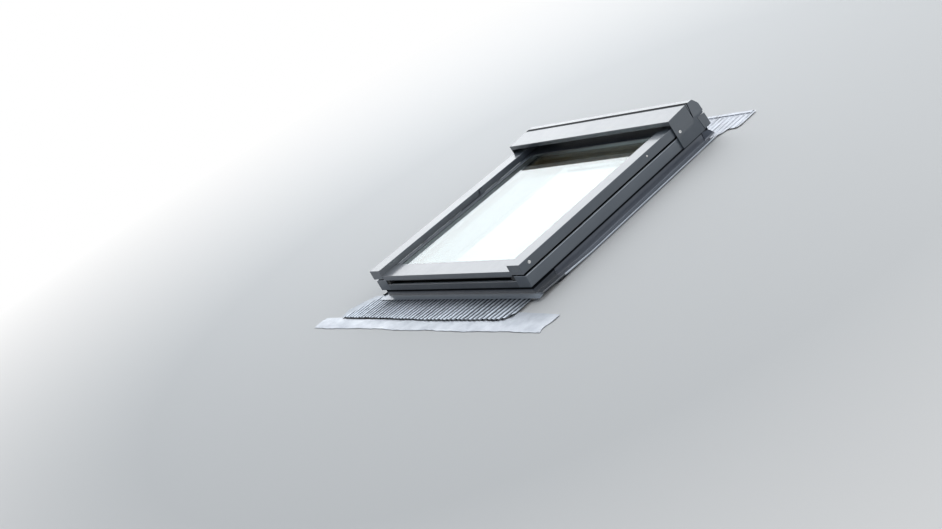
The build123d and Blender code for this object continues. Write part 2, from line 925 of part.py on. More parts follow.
with BuildPart() as upper_cover_screws:
    cover_screw_pair(
        small_head_radius, cover_screw_length, cover_edge_x, small_screw_y, cover_screw_z
    )
save(upper_cover_screws, "upper_cover_screws")

# Hood: front profile, end plates, rear lobe, tail cover and corner blocks
hood_edge_x = cover_edge_x + hood_half_overhang
hood_front_z = cover_top_z + hood_front_height
ridge_y = top_end - ridge_setback
ridge_z = cover_top_z + ridge_height
hood_base_z = cover_top_z - lobe_base_drop
groove_foot_y = ridge_y + groove_run
lap_z = cover_top_z - upper_tier_height - tier_gap / 2
rake_slope = hood_rake / (hood_front_z - lower_tier_z)
lap_front_y = hood_front_y + (hood_front_z - lap_z) * rake_slope
hood_inner_x = hood_edge_x - hood_end_thickness

with BuildPart() as hood_top:
    with BuildSketch(section_at_x(-hood_inner_x)):
        add(
            sheet_section(
                (
                    (
                        hood_front_y + hood_lip_height * rake_slope + hem_width,
                        hood_front_z - hood_lip_height,
                    ),
                    (
                        hood_front_y + hood_lip_height * rake_slope,
                        hood_front_z - hood_lip_height,
                    ),
                    (hood_front_y, hood_front_z),
                    (ridge_y, ridge_z),
                    (groove_foot_y, hood_base_z),
                ),
                hood_sheet,
                hood_bend_radii,
            )
        )
    extrude(amount=2 * hood_inner_x)
save(hood_top, "hood_top")

hood_outline = (
    (hood_front_y, hood_front_z),
    (ridge_y, ridge_z),
    (groove_foot_y, hood_base_z),
    (ridge_y, lap_z),
    (lap_front_y, lap_z),
)
with BuildPart() as hood_ends:
    for side, _ in sides:
        with BuildSketch(section_at_x(side * hood_inner_x)) as end_plate:
            Polygon(*hood_outline, align=None)
            fillet(end_plate.vertices().sort_by(Axis.Y)[-2:], hood_corner_radius)
        extrude(amount=side * hood_end_thickness)
        with BuildSketch(section_at_x(side * cover_edge_x)):
            with Locations((hood_screw_y, hood_screw_z)):
                Circle(3 * screw_shank_radius)
        extrude(amount=side * (hood_inner_x - cover_edge_x))
        with BuildSketch(section_at_x(side * cover_edge_x)):
            with Locations((hood_screw_y, hood_screw_z)):
                Circle(screw_shank_radius + screw_hole_gap)
        extrude(amount=side * (hood_edge_x - cover_edge_x), mode=Mode.SUBTRACT)
save(hood_ends, "hood_ends")

with BuildPart() as hood_screws:
    cover_screw_pair(
        large_head_radius, hood_screw_length, hood_edge_x, hood_screw_y, hood_screw_z
    )
save(hood_screws, "hood_screws")

lobe_outline = (
    (groove_foot_y + hood_rear_gap, hood_base_z),
    (ridge_y + hood_rear_gap, ridge_z),
    (top_end - lobe_top_setback, ridge_z),
    (top_end - lobe_shoulder_setback, ridge_z - lobe_shoulder_drop),
    (top_end, hood_base_z),
)
with BuildPart() as hood_rear:
    with BuildSketch(section_at_x(-hood_inner_x)):
        add(
            sheet_section(
                (
                    (groove_foot_y + lobe_foot_width, hood_base_z),
                    *lobe_outline,
                    (top_end - lobe_rear_foot_width, hood_base_z),
                ),
                hood_sheet,
                lobe_bend_radii,
                turn=Side.LEFT,
            )
        )
    extrude(amount=2 * hood_inner_x)
    for side, _ in sides:
        with BuildSketch(section_at_x(side * hood_inner_x)) as lobe_end:
            Polygon(*lobe_outline, align=None)
            for corner, radius in zip(lobe_outline[1:4], lobe_bend_radii[1:4]):
                fillet(lobe_end.vertices().sort_by_distance(corner)[0], radius)
        extrude(amount=side * hood_end_thickness)
save(hood_rear, "hood_rear")

tail_top_z = cover_top_z - tail_drop
tail_front_y = top_end - tail_front_setback
tail_foot_y = frame_inner_top_y + tail_foot_gap
tail_outline = (
    (tail_front_y, tail_top_z),
    (top_end, tail_top_z - tail_fall),
    (top_end + tail_rear_step, tail_top_z - tail_depth),
    (top_end - tail_end_setback, tail_top_z - tail_depth),
)
with BuildPart() as frame_cover_top:
    with BuildSketch(section_at_x(-hood_inner_x)):
        add(
            sheet_section(
                (
                    (tail_foot_y + tail_foot_width, frame_top_z),
                    (tail_foot_y, frame_top_z),
                    tail_outline[0],
                    tail_outline[1],
                    tail_outline[2],
                    (top_end + tail_rear_step - hem_width, tail_top_z - tail_depth),
                ),
                sheet,
                bend_radius,
            )
        )
    extrude(amount=2 * hood_inner_x)
    for side, _ in sides:
        with BuildSketch(section_at_x(side * hood_inner_x)):
            Polygon(*tail_outline, align=None)
        extrude(amount=side * hood_end_thickness)
save(frame_cover_top, "frame_cover_top")

with BuildPart() as hood_corners:
    for side, _ in sides:
        with BuildSketch(section_at_x(side * cover_edge_x)):
            Polygon(
                (lap_front_y, lap_z - fit_gap),
                (ridge_y, lap_z - fit_gap),
                (groove_foot_y, hood_base_z - fit_gap),
                (top_end - block_tip_setback, hood_base_z - fit_gap),
                (top_end - block_tip_setback, tail_top_z + fit_gap),
                (tail_front_y - tail_seam, tail_top_z + fit_gap),
                (top_end - tail_end_setback - tail_seam, lower_tier_z),
                (hood_front_y + hood_rake, lower_tier_z),
                align=None,
            )
        extrude(amount=side * hood_half_overhang)
save(hood_corners, "hood_corners")

# Spacers that carry the hood on the side covers
with BuildPart() as hood_supports:
    top_slope = (ridge_z - hood_front_z) / (ridge_y - hood_front_y)
    low_y = hood_front_y + support_front_setback
    high_y = ridge_y - support_rear_setback
    low_z = hood_front_z + (low_y - hood_front_y) * top_slope - hood_sheet - fit_gap / 2
    high_z = hood_front_z + (high_y - hood_front_y) * top_slope - hood_sheet - fit_gap / 2
    for side, _ in sides:
        with BuildSketch(section_at_x(side * (lip_x + support_side_setback))):
            Polygon(
                (low_y, cover_top_z),
                (low_y, low_z),
                (high_y, high_z),
                (high_y, cover_top_z),
                align=None,
            )
            rectangle_between(
                low_y + support_wall,
                high_y - support_wall,
                cover_top_z + support_wall,
                low_z - support_wall,
                Mode.SUBTRACT,
            )
        extrude(amount=side * support_width)
save(hood_supports, "hood_supports")

# Pivot hinges
body_x = sash_outer_x + hinge_body_gap
for side, side_name in sides:
    with BuildPart() as hinge_frame:
        with BuildSketch(section_at_x(side * body_x)) as hinge_disc:
            with Locations((0, pivot_z)):
                Circle(hinge_body_radius)
            rectangle_between(
                -hinge_body_radius,
                hinge_body_radius,
                pivot_z - hinge_top_gap,
                pivot_z + hinge_body_radius,
                mode=Mode.SUBTRACT,
            )
            fillet(hinge_disc.vertices(), hinge_corner_radius)
        extrude(amount=side * hinge_body_thickness)
        with BuildSketch(section_at_x(side * body_x)):
            with Locations((0, pivot_z)):
                Circle(groove_outer_radius)
                Circle(groove_inner_radius, mode=Mode.SUBTRACT)
        extrude(amount=side * groove_depth, mode=Mode.SUBTRACT)
    save(hinge_frame, f"hinge_frame_{side_name}")


def ring_sector(inner_radius, outer_radius, low_angle, high_angle):
    # Part of a ring about the pivot; angles are taken from straight down towards +Y.
    def at(radius, angle):
        return (radius * sin(radians(angle)), pivot_z - radius * cos(radians(angle)))

    middle = (low_angle + high_angle) / 2
    with BuildSketch() as sector:
        with BuildLine():
            ThreePointArc(
                at(outer_radius, low_angle), at(outer_radius, middle), at(outer_radius, high_angle)
            )
            Line(at(outer_radius, high_angle), at(inner_radius, high_angle))
            ThreePointArc(
                at(inner_radius, high_angle), at(inner_radius, middle), at(inner_radius, low_angle)
            )
            Line(at(inner_radius, low_angle), at(outer_radius, low_angle))
        make_face()
    return sector.sketch


tongue_gap = hinge_body_gap - sash_plate_thickness
for side, side_name in sides:
    with BuildPart() as hinge_sash:
        with BuildSketch(section_at_x(side * sash_outer_x)):
            add(
                ring_sector(
                    tongue_plate_radius,
                    groove_outer_radius + sash_plate_margin,
                    tongue_low_angle,
                    tongue_high_angle,
                )
            )
            rectangle_between(
                -hinge_foot_width / 2,
                hinge_foot_width / 2,
                sash_top_z - hinge_foot_depth,
                sash_top_z,
            )
        extrude(amount=side * sash_plate_thickness)
        with BuildSketch(section_at_x(side * (sash_outer_x + sash_plate_thickness))):
            add(
                ring_sector(
                    groove_inner_radius + running_gap,
                    groove_outer_radius - running_gap,
                    tongue_low_angle,
                    tongue_high_angle,
                )
            )
        extrude(amount=side * (tongue_gap + groove_depth - running_gap))
    save(hinge_sash, f"hinge_sash_{side_name}")

# Latch, its case and the strike plate
latch_strip_half = strike_plate_width / 2 + latch_strip_gap
with BuildPart() as lock_case:
    with BuildSketch(section_at_x(-case_width / 2)):
        rectangle_between(
            sash_top_y - 2 * sheet - case_depth,
            sash_top_y - 2 * sheet,
            sash_top_z,
            sash_top_z + case_height,
        )
    extrude(amount=case_width)
    fillet(lock_case.edges().filter_by(Axis.Y).group_by(Axis.Z)[-1], case_corner_radius)
    block_between(
        (-case_width / 2 + case_wall, case_width / 2 - case_wall),
        (sash_top_y - 2 * sheet - case_depth + case_wall, sash_top_y),
        (sash_top_z - case_wall, sash_top_z + case_height - case_wall),
        mode=Mode.SUBTRACT,
    )
save(lock_case, "lock_case")

released = radians(latch_angle)
with BuildPart() as latch_hook:
    with BuildSketch(section_at_x(-latch_thickness / 2)):
        with BuildLine():
            base = Polyline(
                (latch_y - sin(released) * latch_arm_height / 2,
                 latch_z + cos(released) * latch_arm_height / 2),
                (latch_y - sin(released) * latch_arm_height / 2 + cos(released) * latch_length,
                 latch_z + cos(released) * latch_arm_height / 2 + sin(released) * latch_length),
                (latch_y + sin(released) * latch_arm_height / 2 + cos(released) * latch_length,
                 latch_z - cos(released) * latch_arm_height / 2 + sin(released) * latch_length),
                (latch_y + sin(released) * latch_arm_height / 2,
                 latch_z - cos(released) * latch_arm_height / 2),
            )
            ThreePointArc(
                base @ 1,
                (latch_y - cos(released) * latch_arm_height / 2,
                 latch_z - sin(released) * latch_arm_height / 2),
                base @ 0,
            )
        make_face()
    extrude(amount=latch_thickness)
    with BuildSketch(section_at_x(-case_width / 2 + case_wall)):
        with Locations((latch_y, latch_z)):
            Circle(latch_pin_radius)
    extrude(amount=case_width - 2 * case_wall)
save(latch_hook, "latch_hook")

ledge_z = latch_z - latch_arm_height / 2 - strike_ledge_gap
ledge_front_y = sash_top_y + strike_ledge_setback
with BuildPart() as strike_plate:
    block_between(
        (-strike_plate_width / 2, strike_plate_width / 2),
        (frame_inner_top_y - strike_plate_thickness, frame_inner_top_y),
        (frame_top_z - strike_plate_height, frame_top_z),
    )
    fillet(strike_plate.edges().filter_by(Axis.Y), strike_corner_radius)
    with BuildSketch(section_at_x(-strike_ledge_width / 2)):
        Polygon(
            (ledge_front_y, ledge_z),
            (frame_inner_top_y - strike_plate_thickness, ledge_z),
            (frame_inner_top_y - strike_plate_thickness, ledge_z - 2 * strike_ledge_height),
            (ledge_front_y, ledge_z - strike_ledge_height),
            align=None,
        )
    extrude(amount=strike_ledge_width)
save(strike_plate, "strike_plate")

# Ventilation flap, stored open at its stop, and the control bar on it
flap_y = sash_top_y - flap_hinge_setback
flap_z = sash_bottom_z - flap_pin_drop
open_angle = radians(flap_angle)


def opened(along, up):
    # A point of the flap in the open position; along and up are taken at the closed flap.
    return (
        flap_y + along * cos(open_angle) + up * sin(open_angle),
        flap_z - along * sin(open_angle) + up * cos(open_angle),
    )


block_half = flap_block_width / 2
outer_block_x = flap_width / 2 - flap_block_inset
block_places = (-outer_block_x, 0, outer_block_x)
flap_top = sash_bottom_z - running_gap - flap_z
with BuildPart() as vent_flap:
    with BuildSketch(section_at_x(-flap_width / 2)) as flap_section:
        Polygon(
            opened(-flap_nose, flap_top - flap_thickness),
            opened(-flap_nose, flap_top - 1.4 * flap_nose),
            opened(0.7 * flap_nose, flap_top),
            opened(flap_length, flap_top),
            opened(flap_length, flap_top - flap_thickness + flap_nose),
            opened(flap_length - flap_nose, flap_top - flap_thickness),
            align=None,
        )
    extrude(amount=flap_width)
    for x in block_places:
        block_between(
            (x - block_half - running_gap, x + block_half + running_gap),
            (flap_y - flap_block_reach, flap_y + flap_block_reach),
            (flap_z - 3 * flap_thickness, sash_bottom_z),
            mode=Mode.SUBTRACT,
        )
    for x in block_places:
        with BuildSketch(section_at_x(x - block_half - flap_pin_overhang)):
            with Locations((flap_y, flap_z)):
                Circle(flap_pin_radius)
        extrude(amount=flap_block_width + 2 * flap_pin_overhang)
save(vent_flap, "vent_flap")

with BuildPart() as flap_hinges:
    for x in block_places:
        with BuildSketch(section_at_x(x - block_half)):
            rectangle_between(
                flap_y - 2 * flap_knuckle_radius,
                flap_y + flap_knuckle_radius,
                (flap_z + sash_bottom_z) / 2,
                sash_bottom_z,
            )
            rectangle_between(
                flap_y - flap_knuckle_radius, flap_y + flap_knuckle_radius, flap_z, sash_bottom_z
            )
            with Locations((flap_y, flap_z)):
                Circle(flap_knuckle_radius)
                Circle(flap_pin_radius + running_gap, mode=Mode.SUBTRACT)
        extrude(amount=flap_block_width)
save(flap_hinges, "flap_hinges")

bar_y, bar_z = opened(bar_offset, -bar_drop)
with BuildPart() as control_bar:
    with BuildSketch(section_at_x(-bar_length / 2)):
        with Locations((bar_y, bar_z)):
            Circle(bar_radius)
    extrude(amount=bar_length)
    chamfer(control_bar.edges().filter_by(GeomType.CIRCLE), bar_radius * 0.3)
    post_top = flap_top - flap_thickness
    for x in (-bar_post_spacing, 0, bar_post_spacing):
        with BuildSketch(section_at_x(x - bar_post_width / 2)):
            Polygon(
                opened(bar_offset - bar_post_root, post_top),
                opened(bar_offset + bar_post_root, post_top),
                opened(bar_offset + bar_post_tip, -bar_drop),
                opened(bar_offset - bar_post_tip, -bar_drop),
                align=None,
            )
        extrude(amount=bar_post_width)
save(control_bar, "control_bar")

with BuildPart() as air_filter:
    for end in (-1, 1):
        block_between(
            (end * (vent_centre_half_width + fit_gap), end * (vent_slot_half_length - fit_gap)),
            (slot_low_y + fit_gap, slot_high_y - fit_gap),
            (sash_top_z - filter_height, sash_top_z),
        )
save(air_filter, "air_filter")

# Barrel bolt and its bushes in the frame
with BuildPart() as barrel_bolt:
    with BuildSketch(section_at_x(bolt_tip_x)):
        with Locations((bolt_y, bolt_z)):
            Circle(bolt_radius)
    extrude(amount=bolt_length)
    chamfer(barrel_bolt.edges().group_by(Axis.X)[0], bolt_point)
    with BuildSketch(Plane.XY.offset(sash_bottom_z - knob_drop)):
        with Locations((knob_x, bolt_y)):
            Circle(knob_radius)
    extrude(amount=knob_drop + bolt_rise)
    chamfer(barrel_bolt.edges().group_by(Axis.Z)[0], bolt_point)
save(barrel_bolt, "barrel_bolt")

with BuildPart() as bolt_bushes:
    with BuildSketch(section_at_x(-frame_inner_x)):
        with Locations(*bush_places):
            Circle(bush_radius)
            Circle(bolt_radius + running_gap, mode=Mode.SUBTRACT)
    extrude(amount=-bush_length)
save(bolt_bushes, "bolt_bushes")

# Weather strips on the inner faces of the frame
strip_top_z = frame_top_z - strip_drop
strip_low_z = strip_top_z - strip_height
hinge_foot_sweep = hypot(hinge_foot_width / 2, pivot_z - sash_top_z + hinge_foot_depth)
hinge_clear_y = hinge_foot_sweep + strip_hinge_gap


def strip_section(root, tip):
    # A strip with its base at root and its lip reaching to tip.
    step = strip_base if root > tip else -strip_base
    with BuildSketch() as section:
        Polygon(
            (root, strip_low_z),
            (root, strip_top_z),
            (root - step, strip_top_z),
            (root - step, strip_low_z + strip_rise),
            (tip, strip_low_z + strip_lip),
            (tip, strip_low_z),
            (root - step, strip_low_z + strip_root),
            (root - step, strip_low_z),
            align=None,
        )
    return section.sketch


strip_tip_x = sash_outer_x + strip_tip_gap
with BuildPart() as lower_side_strips:
    for side, _ in sides:
        with BuildSketch(section_at_y(-hinge_clear_y)):
            add(strip_section(side * frame_inner_x, side * strip_tip_x))
        extrude(amount=-hinge_clear_y - frame_inner_bottom_y)
save(lower_side_strips, "lower_side_strips")

with BuildPart() as upper_strips:
    for side, _ in sides:
        with BuildSketch(section_at_y(frame_inner_top_y)):
            add(strip_section(side * frame_inner_x, side * strip_tip_x))
        extrude(amount=frame_inner_top_y - hinge_clear_y)
        with BuildSketch(section_at_x(side * latch_strip_half)):
            add(strip_section(frame_inner_top_y, sash_top_y + strip_tip_gap))
        extrude(amount=side * (frame_inner_x - latch_strip_half))
save(upper_strips, "upper_strips")

# Push-on bulb seal along the drip upstand
bulb_z = seal_top_z - running_gap - sill_bulb_radius
bulb_y = drip_upstand_y + sheet / 2
sill_seal_half = lip_x - 2 * plug_width / 3
with BuildPart() as sill_seal:
    with BuildSketch(section_at_x(-sill_seal_half)):
        with Locations((bulb_y, bulb_z)):
            Circle(sill_bulb_radius)
        rectangle_between(
            bulb_y - sill_stem_width / 2,
            bulb_y + sill_stem_width / 2,
            drip_upstand_top_z - sill_stem_grip,
            bulb_z,
        )
        rectangle_between(
            drip_upstand_y,
            drip_upstand_y + sheet,
            drip_upstand_top_z - 2 * sill_stem_grip,
            drip_upstand_top_z,
            mode=Mode.SUBTRACT,
        )
    extrude(amount=2 * sill_seal_half)
save(sill_seal, "sill_seal")

# Rubber plugs that close the ends of the drip gap
with BuildPart() as corner_plugs:
    for side, _ in sides:
        block_between(
            (side * (lip_x - plug_gap - plug_width), side * (lip_x - plug_gap)),
            (lower_end_y + plug_setback, lower_end_y + plug_setback + plug_depth),
            (drip_ledge_z, cover_sheet_z - bottom_cover_front_height - running_gap),
        )
    fillet(corner_plugs.edges().filter_by(Axis.X).group_by(Axis.Z)[-1], plug_corner_radius)
save(corner_plugs, "corner_plugs")

# Flashing along the sides: upstand, gutter floor and a folded welt
upstand_x = half_width + upstand_gap
upstand_head_z = lower_tier_z + upstand_cover
gutter_edge_x = upstand_x + gutter_width
step_y = bottom_end + bottom_return_length
lift_end_y = bottom_end + lift_run
ear_low_y = top_end - ear_setback
flashing_high_y = ear_low_y + ear_lap


def gutter_section(side, inset, base_z):
    # Upstand, floor and welt across one side of the window.
    return sheet_section(
        (
            (upstand_x - inset, upstand_head_z),
            (upstand_x - inset, base_z),
            (gutter_edge_x, base_z),
            (gutter_edge_x, base_z + gutter_welt_height),
            (gutter_edge_x - gutter_welt_width, base_z + gutter_welt_height),
        ),
        flashing_sheet,
        bend_radius,
        turn=Side.RIGHT,
        mirrored=side < 0,
    )


def base_at(y):
    # Height of the gutter floor, which climbs towards the bottom end.
    return flashing_base_z + flashing_lift * (lift_end_y - y) / lift_run


for side, side_name in sides:
    with BuildPart() as flashing_side:
        with BuildSketch(section_at_y(flashing_high_y)):
            add(gutter_section(side, 0, flashing_base_z))
        extrude(amount=flashing_high_y - lift_end_y)
        with BuildSketch(section_at_y(lift_end_y)):
            add(gutter_section(side, 0, flashing_base_z))
        with BuildSketch(section_at_y(step_y)):
            add(gutter_section(side, 0, base_at(step_y)))
        loft()
    save(flashing_side, f"flashing_side_{side_name}")

# Bottom flashing: side returns, front upstand and the smooth band above the pleats
front_half = upstand_x - bottom_return_step + flashing_sheet
band_end_y = front_y - band_slope_run
band_z = apron_base_z + pleat_height + 2 * flashing_sheet
upstand_path = (
    (front_y, front_upstand_top_z),
    (front_y, base_at(front_y)),
    (band_end_y, band_z),
    (band_end_y - band_lip, band_z - flashing_sheet / 2),
)
with BuildPart() as flashing_bottom:
    for side, _ in sides:
        with BuildSketch(section_at_y(step_y - fit_gap)):
            add(gutter_section(side, bottom_return_step, base_at(step_y) + flashing_sheet))
        with BuildSketch(section_at_y(front_y - flashing_sheet)):
            add(gutter_section(side, bottom_return_step, base_at(front_y) + flashing_sheet))
        loft()
    for half, path, radius in (
        (front_half, upstand_path, (bend_radius, band_bend_radius)),
        (gutter_edge_x, upstand_path[1:], band_bend_radius),
    ):
        with BuildSketch(section_at_x(-half)):
            add(sheet_section(path, flashing_sheet, radius, turn=Side.RIGHT))
        extrude(amount=2 * half)
save(flashing_bottom, "flashing_bottom")


def folded(low_x, high_x, pitch, height, base_z, profile):
    # Cross-section of a sheet pressed into folds; the profile gives the points of one fold
    # as shares of its pitch and its height.
    count = round((high_x - low_x) / pitch)
    step = (high_x - low_x) / count
    line = [
        (low_x + (fold + along) * step, base_z + up * height)
        for fold in range(count)
        for along, up in profile
    ]
    line.append((high_x, base_z))
    back = [(x, z + flashing_sheet) for x, z in reversed(line)]
    with BuildSketch() as section:
        Polygon(*line, *back, align=None)
    return section.sketch


# Pleated apron, cut to an outline with a hand-dressed lower edge
apron_high_y = bottom_end - apron_start
apron_low_y = bottom_end - apron_reach
apron_low_x = -half_width - apron_left_reach
apron_high_x = half_width + apron_right_reach
apron_return_x = -half_width - apron_return_reach
apron_return_y = bottom_end + apron_return_rise
apron_run = 1.1 * (apron_return_y - apron_low_y)
with BuildPart() as pleated_apron:
    with BuildSketch(section_at_y(apron_return_y)):
        add(
            folded(
                apron_low_x,
                apron_high_x + pleat_slant * apron_run,
                pleat_pitch,
                pleat_height,
                apron_base_z,
                pleat_profile,
            )
        )
    extrude(amount=apron_run, dir=(-pleat_slant, -1, 0))
    with BuildSketch(Plane.XY.offset(apron_base_z - 1.0)) as apron_outline:
        with BuildLine():
            ends = Polyline(
                (apron_low_x, apron_low_y + 3.0),
                (apron_low_x - 8.0, apron_low_y + 52.0),
                (apron_low_x + 16.0, apron_low_y + 95.0),
                (apron_return_x - 50.0, apron_return_y),
                (apron_return_x, apron_return_y),
                (apron_return_x, apron_high_y),
                (apron_high_x - 5.0, apron_high_y),
                (apron_high_x - 2.0, apron_low_y + 39.0),
                (apron_high_x - 15.0, apron_low_y + 15.0),
                (apron_high_x - 34.0, apron_low_y),
            )
            Spline(
                ends @ 1,
                (0.5 * half_width, apron_low_y - 2.0),
                (0.0, apron_low_y - 6.0),
                (-0.5 * half_width, apron_low_y - 1.0),
                (-0.9 * half_width, apron_low_y + 3.0),
                (-1.2 * half_width, apron_low_y),
                ends @ 0,
            )
        make_face()
        fillet(apron_outline.vertices().sort_by(Axis.X)[-3:-1], apron_corner_radius)
    extrude(amount=pleat_height + 2.0, mode=Mode.INTERSECT)
save(pleated_apron, "pleated_apron")

# Flat soft-metal sheet under the apron, cut by hand
lead_low_y = bottom_end - lead_reach
lead_high_y = apron_low_y + lead_overlap
lead_left_x = -half_width - lead_left_reach
lead_right_x = half_width + lead_right_reach
lead_width = lead_right_x - lead_left_x
with BuildPart() as lead_sheet:
    with BuildSketch(Plane.XY.offset(apron_base_z - lead_thickness)):
        with BuildLine():
            edge = Polyline(
                (lead_left_x, lead_low_y - 2.0),
                (lead_left_x + 20.0, lead_low_y + 60.0),
                (apron_low_x + 30.0, lead_low_y + 72.0),
                (apron_low_x + 90.0, lead_high_y),
                (apron_high_x - 30.0, lead_high_y),
                (apron_high_x + 10.0, lead_high_y - 6.0),
                (lead_right_x, lead_high_y - 14.0),
                (lead_right_x - 17.0, lead_low_y + 32.0),
                (lead_right_x - 13.0, lead_low_y),
            )
            Spline(
                edge @ 1,
                (lead_right_x - 0.15 * lead_width, lead_low_y + 4.0),
                (lead_right_x - 0.32 * lead_width, lead_low_y - 3.0),
                (lead_right_x - 0.46 * lead_width, lead_low_y + 2.0),
                (lead_right_x - 0.58 * lead_width, lead_low_y - 4.0),
                (lead_right_x - 0.70 * lead_width, lead_low_y + 4.0),
                (lead_right_x - 0.90 * lead_width, lead_low_y - 4.0),
                edge @ 0,
            )
        make_face()
    extrude(amount=lead_thickness)
save(lead_sheet, "lead_sheet")

# Top flashing: rear upstand, crimped skirt with a folded top edge, and side ears
skirt_half = half_width + top_skirt_side_reach
skirt_high_y = top_end + top_skirt_reach
skirt_low_y = top_end - top_skirt_return
skirt_start_y = top_end + flashing_sheet + bend_radius
skirt_z = flashing_base_z + flashing_sheet
ear_x = upstand_x + ear_step
with BuildPart() as flashing_top:
    with BuildSketch(section_at_y(skirt_high_y)):
        add(folded(-skirt_half, skirt_half, crimp_pitch, crimp_height, skirt_z, crimp_profile))
    extrude(amount=skirt_high_y - skirt_low_y)
    with BuildSketch(Plane.XY.offset(skirt_z - 1.0)):
        Polygon(
            (0, skirt_start_y),
            (half_width, skirt_start_y),
            (half_width, top_end + flashing_sheet),
            (ear_x, top_end + flashing_sheet),
            (ear_x, skirt_low_y),
            (gutter_edge_x - 4.0, skirt_low_y),
            (gutter_edge_x + 5.0, top_end + 4.0),
            (gutter_edge_x + 18.0, top_end + 35.0),
            (skirt_half - 10.0, top_end + 36.0),
            (skirt_half + 4.0, top_end + 62.0),
            (skirt_half, skirt_high_y),
            (0, skirt_high_y),
            align=None,
        )
        mirror(about=Plane.YZ)
    extrude(amount=crimp_height + 2.0, mode=Mode.INTERSECT)
    with BuildSketch(section_at_x(-half_width)):
        add(
            sheet_section(
                (
                    (top_end, upstand_head_z),
                    (top_end, skirt_z),
                    (top_end + top_welt_width, skirt_z),
                ),
                flashing_sheet,
                bend_radius,
                turn=Side.LEFT,
            )
        )
    extrude(amount=2 * half_width)
    block_between(
        (top_welt_margin - skirt_half, skirt_half - top_welt_margin),
        (skirt_high_y - top_welt_width, skirt_high_y),
        (skirt_z, skirt_z + crimp_height + 2 * flashing_sheet),
    )
    for side, _ in sides:
        block_between(
            (side * half_width, side * ear_x),
            (top_end, top_end + flashing_sheet),
            (skirt_z, upstand_head_z),
        )
        with BuildSketch(section_at_x(side * ear_x)):
            Polygon(
                (ear_low_y, skirt_z + fit_gap),
                (ear_low_y, skirt_z + ear_height),
                (ear_low_y + 0.63 * ear_length, skirt_z + 0.75 * ear_height),
                (ear_low_y + ear_length, skirt_z + flashing_sheet),
                (ear_low_y + ear_length, skirt_z + fit_gap),
                align=None,
            )
        extrude(amount=side * flashing_sheet)
save(flashing_top, "flashing_top")
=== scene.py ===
import math
import random

import bpy
from mathutils import Matrix, Vector


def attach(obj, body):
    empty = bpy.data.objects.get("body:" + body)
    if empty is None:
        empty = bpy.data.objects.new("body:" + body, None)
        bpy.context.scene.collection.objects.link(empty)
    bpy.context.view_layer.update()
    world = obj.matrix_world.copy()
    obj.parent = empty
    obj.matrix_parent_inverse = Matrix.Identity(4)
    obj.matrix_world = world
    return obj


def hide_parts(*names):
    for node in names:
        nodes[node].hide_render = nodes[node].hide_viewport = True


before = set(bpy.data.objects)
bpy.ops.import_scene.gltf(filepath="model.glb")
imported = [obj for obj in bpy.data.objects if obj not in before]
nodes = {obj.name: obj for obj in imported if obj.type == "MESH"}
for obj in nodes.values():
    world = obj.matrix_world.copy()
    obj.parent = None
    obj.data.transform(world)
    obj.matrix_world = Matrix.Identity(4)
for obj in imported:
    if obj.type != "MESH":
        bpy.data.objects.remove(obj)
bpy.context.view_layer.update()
random.seed(7)
print("stage: CAD frame loaded,", len(nodes), "nodes")


# camera of the photo, worked out from the edges of the window
camera = {
    "place": (3.3112, -2.5648, 1.4302),
    "right": (0.61408, 0.64482, -0.45511),
    "up": (0.02726, 0.55896, 0.82875),
    "back": (0.78877, -0.52132, 0.32566),
    "lens": 48.107,
    "sensor": 36.0,
    "farthest": 200,
}


def placeCamera():
    bpy.ops.object.camera_add(location=camera["place"])
    eye = bpy.context.object
    eye.name = "photoCamera"
    turn = Matrix((camera["right"], camera["up"], camera["back"])).transposed()
    eye.matrix_world = Matrix.Translation(camera["place"]) @ turn.to_4x4()
    eye.data.sensor_fit = "HORIZONTAL"
    eye.data.sensor_width = camera["sensor"]
    eye.data.lens = camera["lens"]
    eye.data.clip_end = camera["farthest"]
    bpy.context.scene.camera = eye


placeCamera()


def newMaterial(name):
    material = bpy.data.materials.new(name)
    material.use_nodes = True
    tree = material.node_tree
    shader = next(n for n in tree.nodes if n.type == "BSDF_PRINCIPLED")
    return material, tree, shader


def feed(tree, socket, value):
    # an output is linked, a colour gets its alpha, anything else is a plain setting
    if isinstance(value, bpy.types.NodeSocket):
        tree.links.new(value, socket)
    elif socket.type == "RGBA":
        socket.default_value = (*value, 1)
    else:
        socket.default_value = value


def feedAll(tree, node, values):
    for key, value in values.items():
        feed(tree, node.inputs[key], value)


def addNode(tree, kind, inputs=None, **settings):
    node = tree.nodes.new(kind)
    for key, value in settings.items():
        setattr(node, key, value)
    feedAll(tree, node, inputs or {})
    return node


def mathOf(tree, operation, first, second=0.0):
    return addNode(tree, "ShaderNodeMath", {0: first, 1: second}, operation=operation).outputs[0]


def objectPlace(tree, stretch=(1, 1, 1), turn=(0, 0, 0)):
    # object coordinates in metres, stretched for grain or streaks
    coords = addNode(tree, "ShaderNodeTexCoord")
    mapping = addNode(tree, "ShaderNodeMapping", {"Vector": coords.outputs["Object"],
                                                  "Scale": stretch, "Rotation": turn})
    return mapping.outputs["Vector"]


def coordinateOf(tree, source, axis):
    coords = addNode(tree, "ShaderNodeTexCoord")
    parts = addNode(tree, "ShaderNodeSeparateXYZ", {"Vector": coords.outputs[source]})
    return parts.outputs[axis]


def noiseOf(tree, scale, detail=3.0, roughness=0.55, stretch=(1, 1, 1), turn=(0, 0, 0)):
    noise = addNode(tree, "ShaderNodeTexNoise", {
        "Vector": objectPlace(tree, stretch, turn), "Scale": scale, "Detail": detail,
        "Roughness": roughness})
    return noise.outputs["Fac"]


def cellsOf(tree, scale):
    cells = addNode(tree, "ShaderNodeTexVoronoi", {"Vector": objectPlace(tree), "Scale": scale})
    return cells.outputs["Distance"]


